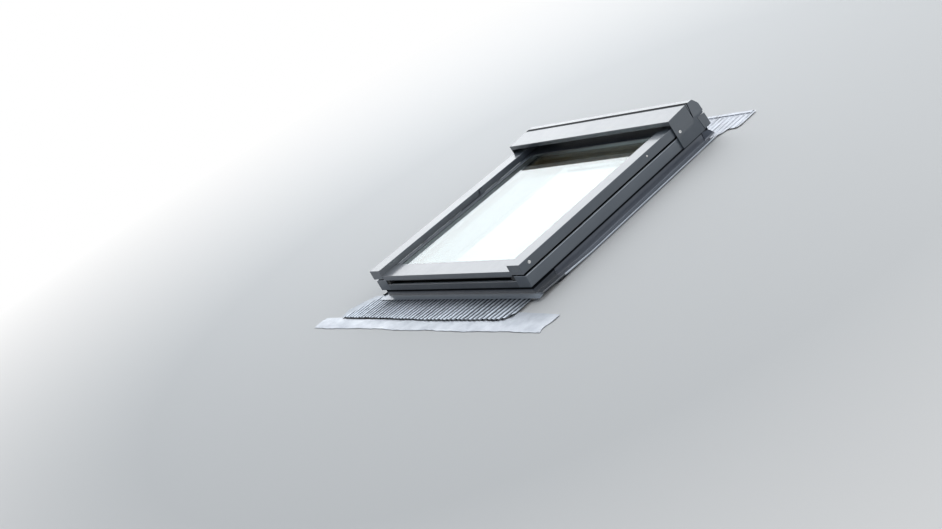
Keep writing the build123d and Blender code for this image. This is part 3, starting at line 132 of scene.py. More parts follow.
def rampOf(tree, factor, stops):
    ramp = addNode(tree, "ShaderNodeValToRGB", {"Fac": factor})
    points = ramp.color_ramp.elements
    while len(points) < len(stops):
        points.new(0.5)
    for point, (place, colour) in zip(points, stops):
        point.position = place
        point.color = (*colour, 1)
    return ramp.outputs["Color"]


def rangeOf(tree, factor, low, high, start=0.0, end=1.0):
    spread = addNode(tree, "ShaderNodeMapRange", {
        "Value": factor, "From Min": start, "From Max": end, "To Min": low, "To Max": high})
    return spread.outputs["Result"]


noiseReach = (0.3, 0.7)  # the values of a noise lie mostly between these


def spreadNoise(tree, noise, low, high):
    return rangeOf(tree, noise, low, high, *noiseReach)


def bumpOf(tree, height, depth, strength, previous=None):
    bump = addNode(tree, "ShaderNodeBump", {"Height": height, "Distance": depth,
                                            "Strength": strength})
    if previous:
        feed(tree, bump.inputs["Normal"], previous)
    return bump.outputs["Normal"]


def mixColours(tree, factor, first, second, blend="MIX"):
    # sockets 0, 6 and 7 are the factor and the two colours, output 2 is the colour
    mix = addNode(tree, "ShaderNodeMix", {0: factor, 6: first, 7: second},
                  data_type="RGBA", blend_type=blend)
    return mix.outputs[2]


def shaded(colour, share):
    return tuple(min(1, part * share) for part in colour)


def heightShare(tree, low, high):
    # 0 below one height of the object and 1 above the other
    return rangeOf(tree, coordinateOf(tree, "Object", "Z"), 0.0, 1.0, low, high)


def upwardShare(tree, low=0.6, high=0.9):
    # 1 where a face of the closed window looks up
    return rangeOf(tree, coordinateOf(tree, "Normal", "Z"), 0.0, 1.0, low, high)


def outerFace(tree, halfX=None, halfY=None, centre=(0, 0)):
    # 1 beyond a half width or a half length from the centre
    sides = []
    for axis, half, middle in (("X", halfX, centre[0]), ("Y", halfY, centre[1])):
        if half is not None:
            place = coordinateOf(tree, "Object", axis)
            away = mathOf(tree, "ABSOLUTE", mathOf(tree, "SUBTRACT", place, middle))
            sides.append(mathOf(tree, "GREATER_THAN", away, half))
    return mathOf(tree, "MAXIMUM", *sides) if len(sides) > 1 else sides[0]


def withinShare(tree, outside, share):
    # the share, counted only where a face isn't outside
    return mathOf(tree, "MULTIPLY", mathOf(tree, "SUBTRACT", 1.0, outside), share)


def jointShare(tree, centreY, wide, narrow):
    # 1 in a joint across the window, wide on top and narrow at the ends
    across = outerFace(tree, halfY=wide, centre=(0, centreY))
    top = withinShare(tree, across, upwardShare(tree))
    ends = mathOf(tree, "SUBTRACT", 1.0, outerFace(tree, halfY=narrow, centre=(0, centreY)))
    return mathOf(tree, "MAXIMUM", ends, top)


lacquerLook = {
    "peel": {"scale": 900, "detail": 2},
    "peelDepth": 0.0002,
    "peelStrength": 0.2,
    "cloud": {"scale": 9, "detail": 4},
    "cloudTones": (0.94, 1.06),
    "cloudSheen": (-0.04, 0.06),
    "streak": {"scale": 1.0, "detail": 5, "roughness": 0.65, "stretch": (38, 2.2, 38)},
    "streakStops": (0.45, 0.85),
    "speck": {"scale": 260, "detail": 2, "roughness": 0.7},
    "speckReach": (0.66, 0.82),
    "speckShare": 0.35,
    "metallic": 0.2,
    "specular": 0.5,
    "coatRoughness": 0.14,
    "coatIor": 1.5,
    # near black, the colour of the painted shade
    "paintedShade": (0.006, 0.007, 0.009),
}


def lacqueredSheet(name, colour, dust, roughness=0.36, dustShare=0.10, crest=None, ledge=None,
                   rim=None, band=None, overhangShade=None, seam=None):
    # lacquered aluminium: satin clear coat, fine orange peel, faint rain marks and a little dust
    look = lacquerLook
    material, tree, shader = newMaterial(name)
    cloud = noiseOf(tree, **look["cloud"])
    clean, dirty = look["streakStops"]
    streak = rampOf(tree, noiseOf(tree, **look["streak"]), [(clean, (0, 0, 0)), (dirty, (1, 1, 1))])
    dark, pale = (shaded(colour, tone) for tone in look["cloudTones"])
    base = mixColours(tree, spreadNoise(tree, cloud, 0.0, 1.0), dark, pale)
    dusty = mixColours(tree, mathOf(tree, "MULTIPLY", streak, dustShare), base, dust)
    speck = rangeOf(tree, noiseOf(tree, **look["speck"]), 0.0, look["speckShare"],
                    *look["speckReach"])
    toned = mixColours(tree, speck, dusty, dust)
    paintedShade = None
    if crest:  # painted highlight: pale along the upper edge
        toned = mixColours(tree, heightShare(tree, crest["low"], crest["high"]), toned,
                           crest["colour"])
    if ledge:  # pale on the faces looking up at the outer edge of a ledge, a painted highlight, and painted shade further in
        toned = mixColours(tree, upwardShare(tree), toned, ledge["colour"])
        outer = outerFace(tree, ledge.get("halfX"), ledge.get("halfY"))
        paintedShade = withinShare(tree, outer, upwardShare(tree))
    if rim:  # painted highlight: bright along the outermost edge
        toned = mixColours(tree, outerFace(tree, halfX=rim["halfX"]), toned, rim["colour"])
    if band:  # painted highlight: the low band is paler beyond a half length
        paintedPaleBand = mixColours(tree, outerFace(tree, halfY=band["halfY"]), toned, band["colour"])
        toned = mixColours(tree, heightShare(tree, band["low"], band["high"]), paintedPaleBand, toned)
    if overhangShade:  # painted shade where the cladding overhangs
        paintedShade = heightShare(tree, **overhangShade)
    # painted shade in a joint gap, wide on top and narrow at the ends
    if seam:
        paintedShade = jointShare(tree, **seam)
    feedAll(tree, shader, {
        "Metallic": look["metallic"], "Coat Weight": 1.0, "Coat IOR": look["coatIor"],
        "Coat Roughness": look["coatRoughness"]})
    if paintedShade:  # painted shade has no gloss
        toned = mixColours(tree, paintedShade, toned, look["paintedShade"])
        feedAll(tree, shader, {
            "Coat Weight": rangeOf(tree, paintedShade, 1.0, 0.0),
            "Specular IOR Level": rangeOf(tree, paintedShade, look["specular"], 0.0)})
    smoothest, roughest = (roughness + more for more in look["cloudSheen"])
    peel = noiseOf(tree, **look["peel"])
    feedAll(tree, shader, {
        "Base Color": toned, "Roughness": spreadNoise(tree, cloud, smoothest, roughest),
        "Normal": bumpOf(tree, peel, look["peelDepth"], look["peelStrength"])})
    return material


sheetLook = {
    "colour": (0.60, 0.63, 0.68),
    "dark": (0.42, 0.45, 0.50),
    "patch": {"scale": 11, "detail": 5, "roughness": 0.6},
    "patchStops": (0.3, 0.66),
    "roughness": (0.54, 0.36),
    "metallic": 0.3,
    "dents": {"scale": 22, "detail": 3, "roughness": 0.5},
    "dentDepth": 0.0016,
    "dentStrength": 0.6,
    "creases": {"scale": 50.6, "detail": 5, "roughness": 0.65, "stretch": (1, 2.2, 1),
                "turn": (0, 0, 0.3)},
    "creaseDepth": 0.00064,
    "creaseStrength": 0.5,
    "covered": {"halfX": 0.44, "halfY": 0.15, "centre": (-0.11, -0.4602)},
    "underPleatShade": (0.012, 0.014, 0.018),
}


def dressedMetal(name):
    # soft sheet dressed by hand: shallow dents, creases and an uneven oxide
    look = sheetLook
    material, tree, shader = newMaterial(name)
    patch = noiseOf(tree, **look["patch"])
    low, high = look["patchStops"]
    oxide = rampOf(tree, patch, [(low, look["dark"]), (high, look["colour"])])
    # painted shade: black where the pleats lie over it
    base = mixColours(tree, outerFace(tree, **look["covered"]), look["underPleatShade"], oxide)
    dents = bumpOf(tree, noiseOf(tree, **look["dents"]), look["dentDepth"], look["dentStrength"])
    creases = noiseOf(tree, **look["creases"])
    feedAll(tree, shader, {
        "Base Color": base, "Roughness": spreadNoise(tree, patch, *look["roughness"]),
        "Metallic": look["metallic"],
        "Normal": bumpOf(tree, creases, look["creaseDepth"], look["creaseStrength"], dents)})
    return material


pleatLook = {
    "ridge": (0.47, 0.52, 0.59),
    "valley": (0.013, 0.017, 0.024),
    "ridgeZ": 0.0093,
    "valleyZ": 0.0050,
    "lowSlope": {"place": 0.36, "tone": 1.8},
    "highSlope": {"place": 0.66, "tone": 0.62},
    "patch": {"scale": 30, "detail": 5, "roughness": 0.6},
    "patchReach": (0.4, 0.75),
    "patchShare": 0.4,
    "patchTone": 0.55,
    "underside": (0.010, 0.012, 0.016),
    "undersideTurn": (-0.3, 0.2),
    "roughness": (0.34, 0.5),
    "metallic": 0.5,
    "grain": {"scale": 240},
    "grainDepth": 0.0004,
    "grainStrength": 0.3,
}


def foldedMetal(name):
    # pleated soft metal: pale on the folds, and painted shade dark down in between
    look = pleatLook
    material, tree, shader = newMaterial(name)
    patch = noiseOf(tree, **look["patch"])
    low, high = look["lowSlope"], look["highSlope"]
    # painted shade: darker by height down towards the valleys, near black at the bottom
    slope = rampOf(tree, heightShare(tree, look["valleyZ"], look["ridgeZ"]), [
        (0.0, look["valley"]), (low["place"], shaded(look["valley"], low["tone"])),
        (high["place"], shaded(look["ridge"], high["tone"])), (1.0, look["ridge"])])
    patchy = rangeOf(tree, patch, 0.0, look["patchShare"], *look["patchReach"])
    patched = mixColours(tree, patchy, slope, shaded(look["ridge"], look["patchTone"]))
    # painted shade: faces turned down are near black
    turned = upwardShare(tree, *look["undersideTurn"])
    grain = noiseOf(tree, **look["grain"])
    feedAll(tree, shader, {
        "Base Color": mixColours(tree, turned, look["underside"], patched),
        "Roughness": spreadNoise(tree, patch, *look["roughness"]),
        "Metallic": look["metallic"],
        "Normal": bumpOf(tree, grain, look["grainDepth"], look["grainStrength"])})
    return material


topFlashingLook = {
    "skirt": (0.52, 0.55, 0.61),
    "upstand": (0.075, 0.088, 0.112),
    "skirtZ": 0.0085,
    "upstandZ": 0.0105,
    "patch": {"scale": 24, "detail": 5, "roughness": 0.6},
    "patchStops": (0.3, 0.66),
    "patchTone": 0.72,
    "crimp": {"scale": 1.0, "detail": 4, "roughness": 0.6, "stretch": (150, 9, 20),
              "turn": (0, 0, 0.08)},
    "crimpReach": (0.56, 0.66),
    "crimpShare": 0.75,
    "crimpTone": 0.25,
    "crimpDepth": 0.0012,
    "crimpStrength": 0.5,
    "dents": {"scale": 60, "detail": 4},
    "dentDepth": 0.0008,
    "dentStrength": 0.4,
    "roughness": (0.34, 0.48),
    "metallic": 0.35,
}


def twoToneMetal(name):
    # one flashing: a bare soft skirt lies flat, the lacquered part stands up from it
    look = topFlashingLook
    material, tree, shader = newMaterial(name)
    patch = noiseOf(tree, **look["patch"])
    crimp = noiseOf(tree, **look["crimp"])
    low, high = look["patchStops"]
    bare = rampOf(tree, patch, [(low, shaded(look["skirt"], look["patchTone"])),
                                (high, look["skirt"])])
    # painted shade: dark strokes along the crimps, with a matching bump
    crimpShadeShare = rangeOf(tree, crimp, 0.0, look["crimpShare"], *look["crimpReach"])
    crimpShaded = mixColours(tree, crimpShadeShare, bare, shaded(look["skirt"], look["crimpTone"]))
    standing = heightShare(tree, look["skirtZ"], look["upstandZ"])
    crimpRelief = bumpOf(tree, crimp, look["crimpDepth"], look["crimpStrength"])
    dents = noiseOf(tree, **look["dents"])
    feedAll(tree, shader, {
        "Base Color": mixColours(tree, standing, crimpShaded, look["upstand"]),
        "Roughness": spreadNoise(tree, patch, *look["roughness"]),
        "Metallic": look["metallic"],
        "Normal": bumpOf(tree, dents, look["dentDepth"], look["dentStrength"], crimpRelief)})
    return material


woodLook = {
    "alongX": {"rings": (1.2, 26, 26), "pores": (6, 420, 420), "warp": (0.48, 10.4, 8)},
    "alongY": {"rings": (26, 1.2, 26), "pores": (420, 6, 420), "warp": (10.4, 0.48, 8)},
    "rings": {"Scale": 1.1, "Distortion": 5.0, "Detail": 3.0, "Detail Scale": 0.9},
    "ringStops": [(0.0, (0.62, 0.40, 0.20)), (0.55, (0.72, 0.51, 0.29)),
                  (1.0, (0.47, 0.27, 0.12))],
    "warpScale": 1.3,
    "warpColour": (0.80, 0.60, 0.37),
    "warpShare": 0.35,
    "poreDetail": 2,
    "poreStops": [(0.35, (0.80, 0.80, 0.80)), (0.6, (1, 1, 1))],
    "poreDepth": 0.0002,
    "poreStrength": 0.35,
    "paint": (0.045, 0.048, 0.052),
    "paintedY": 0.4806,
    "roughness": (0.42, 0.3),
    "coat": 0.35,
    "coatRoughness": 0.2,
}


def sawnPine(name, grain, paintedX=0.3885):
    # clear-lacquered pine: growth rings stretched along the board, and pores
    look = woodLook
    material, tree, shader = newMaterial(name)
    stretch = look[grain]
    rings = addNode(tree, "ShaderNodeTexWave",
                    {"Vector": objectPlace(tree, stretch["rings"]), **look["rings"]},
                    wave_type="BANDS", bands_direction="DIAGONAL")
    warp = noiseOf(tree, look["warpScale"], stretch=stretch["warp"])
    pores = noiseOf(tree, 1.0, look["poreDetail"], stretch=stretch["pores"])
    toned = mixColours(tree, spreadNoise(tree, warp, 0.0, look["warpShare"]),
                       rampOf(tree, rings.outputs["Fac"], look["ringStops"]),
                       look["warpColour"])
    clear = mixColours(tree, 1.0, toned, rampOf(tree, pores, look["poreStops"]), "MULTIPLY")
    # painted shade: the outer faces below the cladding are dark
    outside = outerFace(tree, paintedX, look["paintedY"])
    feedAll(tree, shader, {
        "Base Color": mixColours(tree, outside, clear, look["paint"]),
        "Roughness": spreadNoise(tree, pores, *look["roughness"]),
        "Coat Weight": look["coat"], "Coat Roughness": look["coatRoughness"],
        "Normal": bumpOf(tree, pores, look["poreDepth"], look["poreStrength"])})
    return material


rubberLook = {
    "colour": (0.016, 0.017, 0.018),
    "bloom": {"scale": 34, "detail": 4},
    "bloomStops": (0.35, 0.75),
    "bloomTone": 1.9,
    "roughness": (0.55, 0.72),
    "lines": {"scale": 1.0, "detail": 1, "stretch": (900, 4, 900)},
    "lineDepth": 0.0001,
    "lineStrength": 0.3,
}


def softRubber(name):
    # dull black seal with a faint bloom and fine extrusion lines
    look = rubberLook
    material, tree, shader = newMaterial(name)
    bloom = noiseOf(tree, **look["bloom"])
    low, high = look["bloomStops"]
    lines = noiseOf(tree, **look["lines"])
    feedAll(tree, shader, {
        "Base Color": rampOf(tree, bloom, [(low, look["colour"]),
                                           (high, shaded(look["colour"], look["bloomTone"]))]),
        "Roughness": spreadNoise(tree, bloom, *look["roughness"]),
        "Normal": bumpOf(tree, lines, look["lineDepth"], look["lineStrength"])})
    return material


glassLook = {
    "tint": (0.70, 0.77, 0.78),
    "film": {"scale": 6, "detail": 4},
    "filmStops": (0.3, 0.7),
    "filmTone": 0.97,
    "haze": 0.015,
    "hazeReach": (0.3, 0.8),
    "ior": 1.52,
}


def coatedGlass(name, mirrorShare):
    # sealed unit with a solar coating: it mirrors the sky, and the room behind stays dim
    look = glassLook
    material, tree, shader = newMaterial(name)
    film = noiseOf(tree, **look["film"])
    low, high = look["filmStops"]
    feedAll(tree, shader, {
        "Base Color": rampOf(tree, film, [(low, shaded(look["tint"], look["filmTone"])),
                                          (high, look["tint"])]),
        "Roughness": rangeOf(tree, film, 0.0, look["haze"], *look["hazeReach"]),
        "Metallic": mirrorShare, "Transmission Weight": 1.0, "IOR": look["ior"]})
    return material


steelLook = {
    "cellScale": 130,
    "cellReach": 0.9,
    "cellTone": 0.86,
    "scratch": {"scale": 1.0, "stretch": (8, 500, 500)},
    "scratchDepth": 0.0001,
    "scratchStrength": 0.2,
    "sheen": (-0.07, 0.1),
}


def platedSteel(name, colour, roughness):
    # zinc, stainless or bare aluminium: slight spangle, drawn scratches and handling marks
    look = steelLook
    material, tree, shader = newMaterial(name)
    spangle = rangeOf(tree, cellsOf(tree, look["cellScale"]), 0.0, 1.0, 0.0, look["cellReach"])
    scratch = noiseOf(tree, **look["scratch"])
    smoothest, roughest = (roughness + more for more in look["sheen"])
    feedAll(tree, shader, {
        "Base Color": mixColours(tree, spangle, shaded(colour, look["cellTone"]), colour),
        "Roughness": spreadNoise(tree, scratch, smoothest, roughest),
        "Metallic": 1.0,
        "Normal": bumpOf(tree, scratch, look["scratchDepth"], look["scratchStrength"])})
    return material


plasticLook = {
    "tone": {"scale": 12},
    "toneStops": (0.3, 0.7),
    "tones": (0.9, 1.1),
    "grain": {"scale": 700},
    "grainDepth": 0.0003,
    "grainStrength": 0.4,
    "sheen": (-0.08, 0.08),
}


def mouldedPlastic(name, colour, roughness=0.5):
    # moulded plastic with a fine spark-eroded grain
    look = plasticLook
    material, tree, shader = newMaterial(name)
    grain = noiseOf(tree, **look["grain"])
    stops = [(place, shaded(colour, tone))
             for place, tone in zip(look["toneStops"], look["tones"])]
    smoothest, roughest = (roughness + more for more in look["sheen"])
    feedAll(tree, shader, {
        "Base Color": rampOf(tree, noiseOf(tree, **look["tone"]), stops),
        "Roughness": spreadNoise(tree, grain, smoothest, roughest),
        "Normal": bumpOf(tree, grain, look["grainDepth"], look["grainStrength"])})
    return material


foamLook = {
    "colour": (0.11, 0.11, 0.12),
    "cellScale": 420,
    "cellStops": (0.1, 0.5),
    "cellTone": 0.25,
    "cellDepth": 0.001,
    "cellStrength": 0.9,
    "roughness": 0.95,
}


def openFoam(name):
    # filter foam: open cells
    look = foamLook
    material, tree, shader = newMaterial(name)
    cells = cellsOf(tree, look["cellScale"])
    low, high = look["cellStops"]
    feedAll(tree, shader, {
        "Base Color": rampOf(tree, cells, [(low, shaded(look["colour"], look["cellTone"])),
                                           (high, look["colour"])]),
        "Roughness": look["roughness"],
        "Normal": bumpOf(tree, cells, look["cellDepth"], look["cellStrength"])})
    return material


dustOn = {
    "hood": (0.30, 0.31, 0.31),
    "frame": (0.26, 0.27, 0.27),
    "flashing": (0.24, 0.25, 0.25),
}
recipes = {
    "greyLacquer": (lacqueredSheet, {"colour": (0.074, 0.089, 0.110), "dust": dustOn["hood"]}),
    "hoodLacquer": (lacqueredSheet, {"colour": (0.084, 0.098, 0.116), "dust": dustOn["hood"]}),
    # the seam darkens the joint gap of the hood rear with painted shade
    "lobeLacquer": (lacqueredSheet, {
        "colour": (0.100, 0.116, 0.136), "dust": dustOn["hood"],
        "seam": {"centreY": 0.4298, "wide": 0.0072, "narrow": 0.0022}}),
    # crest and ledge colours are painted highlights; further in the ledge is painted shade
    "frameLacquer": (lacqueredSheet, {
        "colour": (0.094, 0.112, 0.136), "dust": dustOn["frame"],
        "crest": {"low": 0.0836, "high": 0.0840, "colour": (0.46, 0.51, 0.58)},
        "ledge": {"halfX": 0.4015, "colour": (0.50, 0.55, 0.62)}}),
    # darker than frameLacquer as a painted shade on the front cover; its ledge colour is a painted
    # highlight, with painted shade further in
    "ledgeLacquer": (lacqueredSheet, {
        "colour": (0.060, 0.070, 0.084), "dust": dustOn["frame"],
        "ledge": {"halfY": 0.4830, "colour": (0.60, 0.65, 0.71)}}),
    # rim and low band colours are painted highlights; the overhang is painted shade under the
    # cladding
    "flashingLacquer": (lacqueredSheet, {
        "colour": (0.104, 0.118, 0.148), "dust": dustOn["flashing"],
        "roughness": 0.42, "dustShare": 0.16,
        "rim": {"halfX": 0.4312, "colour": (0.50, 0.55, 0.62)},
        "band": {"low": 0.0030, "high": 0.0080, "halfY": 0.0, "colour": (0.20, 0.23, 0.28)},
        "overhangShade": {"low": 0.0310, "high": 0.0340}}),
    # darker than flashingLacquer as a painted shade on the front flashing; its low band colour is a
    # painted highlight, with painted shade under the cover
    "bandLacquer": (lacqueredSheet, {
        "colour": (0.062, 0.072, 0.090), "dust": dustOn["flashing"],
        "roughness": 0.44, "dustShare": 0.16,
        "band": {"low": 0.0138, "high": 0.0152, "halfY": 0.476, "colour": (0.40, 0.45, 0.52)},
        "overhangShade": {"low": 0.0285, "high": 0.0315}}),
    "cornerPlastic": (mouldedPlastic, {"colour": (0.080, 0.094, 0.112), "roughness": 0.42}),
    "pleatedMetal": (foldedMetal, {}),
    "dressedSheet": (dressedMetal, {}),
    "topFlashingMetal": (twoToneMetal, {}),
    "pineAcross": (sawnPine, {"grain": "alongX"}),
    "pineAlong": (sawnPine, {"grain": "alongY"}),
    "stilePine": (sawnPine, {"grain": "alongY", "paintedX": 0.343}),
    "sealRubber": (softRubber, {}),
    "outerGlass": (coatedGlass, {"mirrorShare": 0.12}),
    "innerGlass": (coatedGlass, {"mirrorShare": 0.05}),
    "spacerMetal": (platedSteel, {"colour": (0.62, 0.63, 0.64), "roughness": 0.35}),
    "zincSteel": (platedSteel, {"colour": (0.66, 0.67, 0.68), "roughness": 0.38}),
    "stainlessSteel": (platedSteel, {"colour": (0.80, 0.80, 0.79), "roughness": 0.2}),
    "palePlastic": (mouldedPlastic, {"colour": (0.72, 0.72, 0.70)}),
    "filterFoam": (openFoam, {}),
    "satinAluminium": (platedSteel, {"colour": (0.78, 0.79, 0.80), "roughness": 0.3}),
}
finishes = {name: make(name, **values) for name, (make, values) in recipes.items()}

finishOfNode = {
    "greyLacquer": ["sash_cover_left", "sash_cover_right", "sash_cover_bottom",
                    "sash_cover_top", "upper_cover_left", "upper_cover_right",
                    "hinge_frame_left", "hinge_frame_right", "hinge_sash_left",
                    "hinge_sash_right", "glazing_beads"],
    "hoodLacquer": ["hood_top", "hood_ends", "frame_cover_top"],
    "lobeLacquer": ["hood_rear"],
    "frameLacquer": ["frame_cover_left", "frame_cover_right"],
    "ledgeLacquer": ["frame_cover_bottom"],
    "flashingLacquer": ["flashing_side_left", "flashing_side_right"],
    "bandLacquer": ["flashing_bottom"],
    "cornerPlastic": ["hood_corners", "hood_supports"],
    "pleatedMetal": ["pleated_apron"],
    "dressedSheet": ["lead_sheet"],
    "topFlashingMetal": ["flashing_top"],
    "pineAcross": ["frame_top_rail", "frame_bottom_rail", "sash_top_rail", "sash_bottom_rail"],
    "pineAlong": ["frame_side_left", "frame_side_right"],
    "stilePine": ["sash_stile_left", "sash_stile_right"],
    "sealRubber": ["glazing_seal", "glazing_tape", "lower_side_strips", "upper_strips",
                   "sill_seal", "corner_plugs"],
    "outerGlass": ["outer_pane"],
    "innerGlass": ["inner_pane"],
    "spacerMetal": ["pane_spacer"],
    "zincSteel": ["fixing_brackets", "bracket_screws", "sash_cover_brackets",
                  "frame_cover_brackets", "strike_plate", "lock_case", "latch_hook",
                  "barrel_bolt"],
    "stainlessSteel": ["upper_cover_screws", "hood_screws", "sash_cover_screws"],
    "palePlastic": ["flap_hinges", "bolt_bushes"],
    "filterFoam": ["air_filter"],
    "satinAluminium": ["vent_flap", "control_bar"],
}


def dressPiece(piece, finish):
    piece.data.materials.clear()
    piece.data.materials.append(finishes[finish])


dressed = set()
for finish, members in finishOfNode.items():
    for member in members:
        dressPiece(nodes[member], finish)
        dressed.add(member)
print("stage: finishes on", len(dressed), "nodes, without:", sorted(set(nodes) - dressed))


def freshStart():
    if bpy.context.object and bpy.context.object.mode != "OBJECT":
        bpy.ops.object.mode_set(mode="OBJECT")
    bpy.ops.object.select_all(action="DESELECT")


def pick(piece):
    freshStart()
    piece.select_set(True)
    bpy.context.view_layer.objects.active = piece


def applyPlace():
    bpy.ops.object.transform_apply(location=True, rotation=True, scale=True)


def applyModifier(modifier):
    bpy.ops.object.modifier_apply(modifier=modifier.name)


def unitGrid(name, columns, rows):
    # flat grid from 0 to 1 both ways
    freshStart()
    bpy.ops.mesh.primitive_grid_add(x_subdivisions=columns, y_subdivisions=rows, size=1,
                                    location=(0.5, 0.5, 0))
    piece = bpy.context.object
    piece.name = name
    applyPlace()
    return piece


def thickSheet(piece, thickness, smoothAngle=50):
    # wall below the surface, faces outwards, smooth over the shallow bends
    wall = piece.modifiers.new("wall", "SOLIDIFY")
    wall.thickness = thickness
    wall.offset = -1
    applyModifier(wall)
    bpy.ops.object.mode_set(mode="EDIT")
    bpy.ops.mesh.select_all(action="SELECT")
    bpy.ops.mesh.normals_make_consistent(inside=False)
    bpy.ops.object.mode_set(mode="OBJECT")
    bpy.ops.object.shade_smooth_by_angle(angle=math.radians(smoothAngle))


def finishPiece(piece, finish, body, node):
    dressPiece(piece, finish)
    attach(piece, body)
    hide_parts(node)


def limited(share):
    return min(1.0, max(0.0, share))


def alongLine(points, x):
    # height of a measured edge at x
    for (x0, y0), (x1, y1) in zip(points, points[1:]):
        if x <= x1:
            return y0 + (y1 - y0) * limited((x - x0) / (x1 - x0))
    return points[-1][1]


def wobble(x, seed, size):
    # slow irregularity of a hand-dressed edge, the same on every run
    slow = math.sin(x * 47 + seed)
    quick = math.sin(x * 131 + 2 * seed)
    return size * (slow * 0.6 + quick * 0.4)


apron = {
    "upperEdge": [(-0.562, -0.558), (-0.534, -0.515), (-0.491, -0.474), (-0.440, -0.472),
                  (-0.425, -0.490), (0.392, -0.490)],
    "lowerEdge": [(-0.556, -0.608), (-0.344, -0.607), (-0.187, -0.611), (-0.009, -0.6155),
                  (0.199, -0.612), (0.330, -0.610), (0.362, -0.603), (0.381, -0.590),
                  (0.390, -0.570), (0.3915, -0.540), (0.3915, -0.522)],
    "edgeWobble": {"seed": 1.3, "size": 0.0016},
    "leastDepth": 0.002,
    "pleats": 46,
    "stepsPerPleat": 10,
    "rows": 26,
    "weld": 0.0001,
    "leftPitch": 0.0178,
    "rightPitch": 0.0232,
    "slant": 0.135,
    "leftLean": 0.36,  # the first pleats lean the other way, out to so many pleats
    "leftPleats": 1.6,
    "height": 0.0052,
    "crestPower": 0.85,  # below 1 the folds are rounder
    "uneven": 0.10,
    "unevenAlong": 0.05,
    "toeLift": 0.0012,
    "toeRate": 5,
    "sway": 0.0009,
    "bedWave": 0.0004,
    "baseZ": 0.0042,
    "thickness": 0.0006,
    "smoothLine": ((-0.472, -0.497), (-0.548, -0.604)),  # left of it the sheet is plain
    "plainRise": 0.0036,
    "fade": 0.013,
    "endFade": 0.010,
    "lip": (-0.436, -0.510, 0.0088),
}


def pleatedApron():
    # one pleat is modelled flat, repeated, and then dressed to the measured outline
    piece = unitGrid("pleatedApron", apron["stepsPerPleat"], apron["rows"])
    count = apron["pleats"]
    row = piece.modifiers.new("repeat", "ARRAY")
    row.count = count
    row.use_merge_vertices = True
    row.merge_threshold = apron["weld"]
    applyModifier(row)
    left = apron["lowerEdge"][0][0]
    right = apron["lowerEdge"][-1][0]
    growth = math.log(apron["rightPitch"] / apron["leftPitch"]) / count
    (topX, topY), (lowX, lowY) = apron["smoothLine"]
    lipX, lipY, lipZ = apron["lip"]
    for vertex in piece.data.vertices:
        place, up = vertex.co.x, vertex.co.y
        along = (math.exp(growth * place) - 1) / (math.exp(growth * count) - 1)
        x0 = left + (right - left) * along
        y0 = alongLine(apron["lowerEdge"], x0) + wobble(x0, **apron["edgeWobble"])
        lean = apron["slant"] - apron["leftLean"] * math.exp(-place / apron["leftPleats"])
        x1, y1 = x0, y0
        for _ in range(6):  # the leaning fold and the upper edge are brought together
            x1 = min(right, x0 + lean * (y1 - y0))
            y1 = max(alongLine(apron["upperEdge"], x1), y0 + apron["leastDepth"])
        x = x0 + (x1 - x0) * up
        y = y0 + (y1 - y0) * up
        # the pleats run out at the smooth line and at the right end
        clear = x - (lowX + (topX - lowX) * (y - lowY) / (topY - lowY))
        strength = limited(clear / apron["fade"]) * limited((right - x) / apron["endFade"])
        pleat = math.floor(place)
        wave = 0.5 - 0.5 * math.cos(2 * math.pi * (place - pleat))
        uneven = (1.0 + apron["uneven"] * math.sin(pleat * 2.4)
                  + apron["unevenAlong"] * math.sin(pleat * 5.1 + 30 * up))
        rise = apron["height"] * strength * uneven * wave ** apron["crestPower"]
        rise += apron["plainRise"] * (1 - strength)
        rise += apron["toeLift"] * max(0.0, 1 - up * apron["toeRate"]) * wave * strength
        x += apron["sway"] * math.sin(26 * up + pleat * 1.7) * strength * (1 - up)
        z = apron["baseZ"] + rise + apron["bedWave"] * math.sin(x * 23) * (1 - up)
        if x > lipX and y > lipY:  # the folds are pressed down under the flashing
            z = min(z, lipZ)
        vertex.co = (x, y, z)
    thickSheet(piece, apron["thickness"])
    finishPiece(piece, "pleatedMetal", "frame", "pleated_apron")


flatSheet = {
    "upperEdge": [(-0.672, -0.640), (-0.661, -0.607), (-0.546, -0.603), (-0.490, -0.572),
                  (0.395, -0.566), (0.408, -0.5665), (0.584, -0.575)],
    "lowerEdge": [(-0.672, -0.666), (-0.558, -0.6675), (-0.420, -0.663), (-0.276, -0.661),
                  (-0.117, -0.668), (0.017, -0.663), (0.200, -0.667), (0.400, -0.661),
                  (0.575, -0.664)],
    "edgeWobble": {"seed": 0.4, "size": 0.0016},
    "notch": {"depth": 0.014, "start": 0.93, "middle": 0.25, "width": 0.3},
    "columns": 210,
    "rows": 26,
    "highZ": 0.0036,
    "lowZ": 0.0019,
    "thickness": 0.0011,
    "dent": 0.0009,
    "toeDent": 0.65,  # this share of the dents fades out towards the upper edge
    "creases": 17,
    "creaseHeight": 0.0009,
    "creaseWidth": 0.0022,
    "creaseSkew": 0.05,
    "creaseFade": 0.7,
}


def dentAt(x, y):
    # shallow dents of the mallet, the same on every run
    broad = math.sin(x * 61 + 2 * math.sin(y * 90)) * math.sin(y * 83 + x * 17)
    return broad * 0.5 + math.sin(x * 149 + y * 60) * 0.22


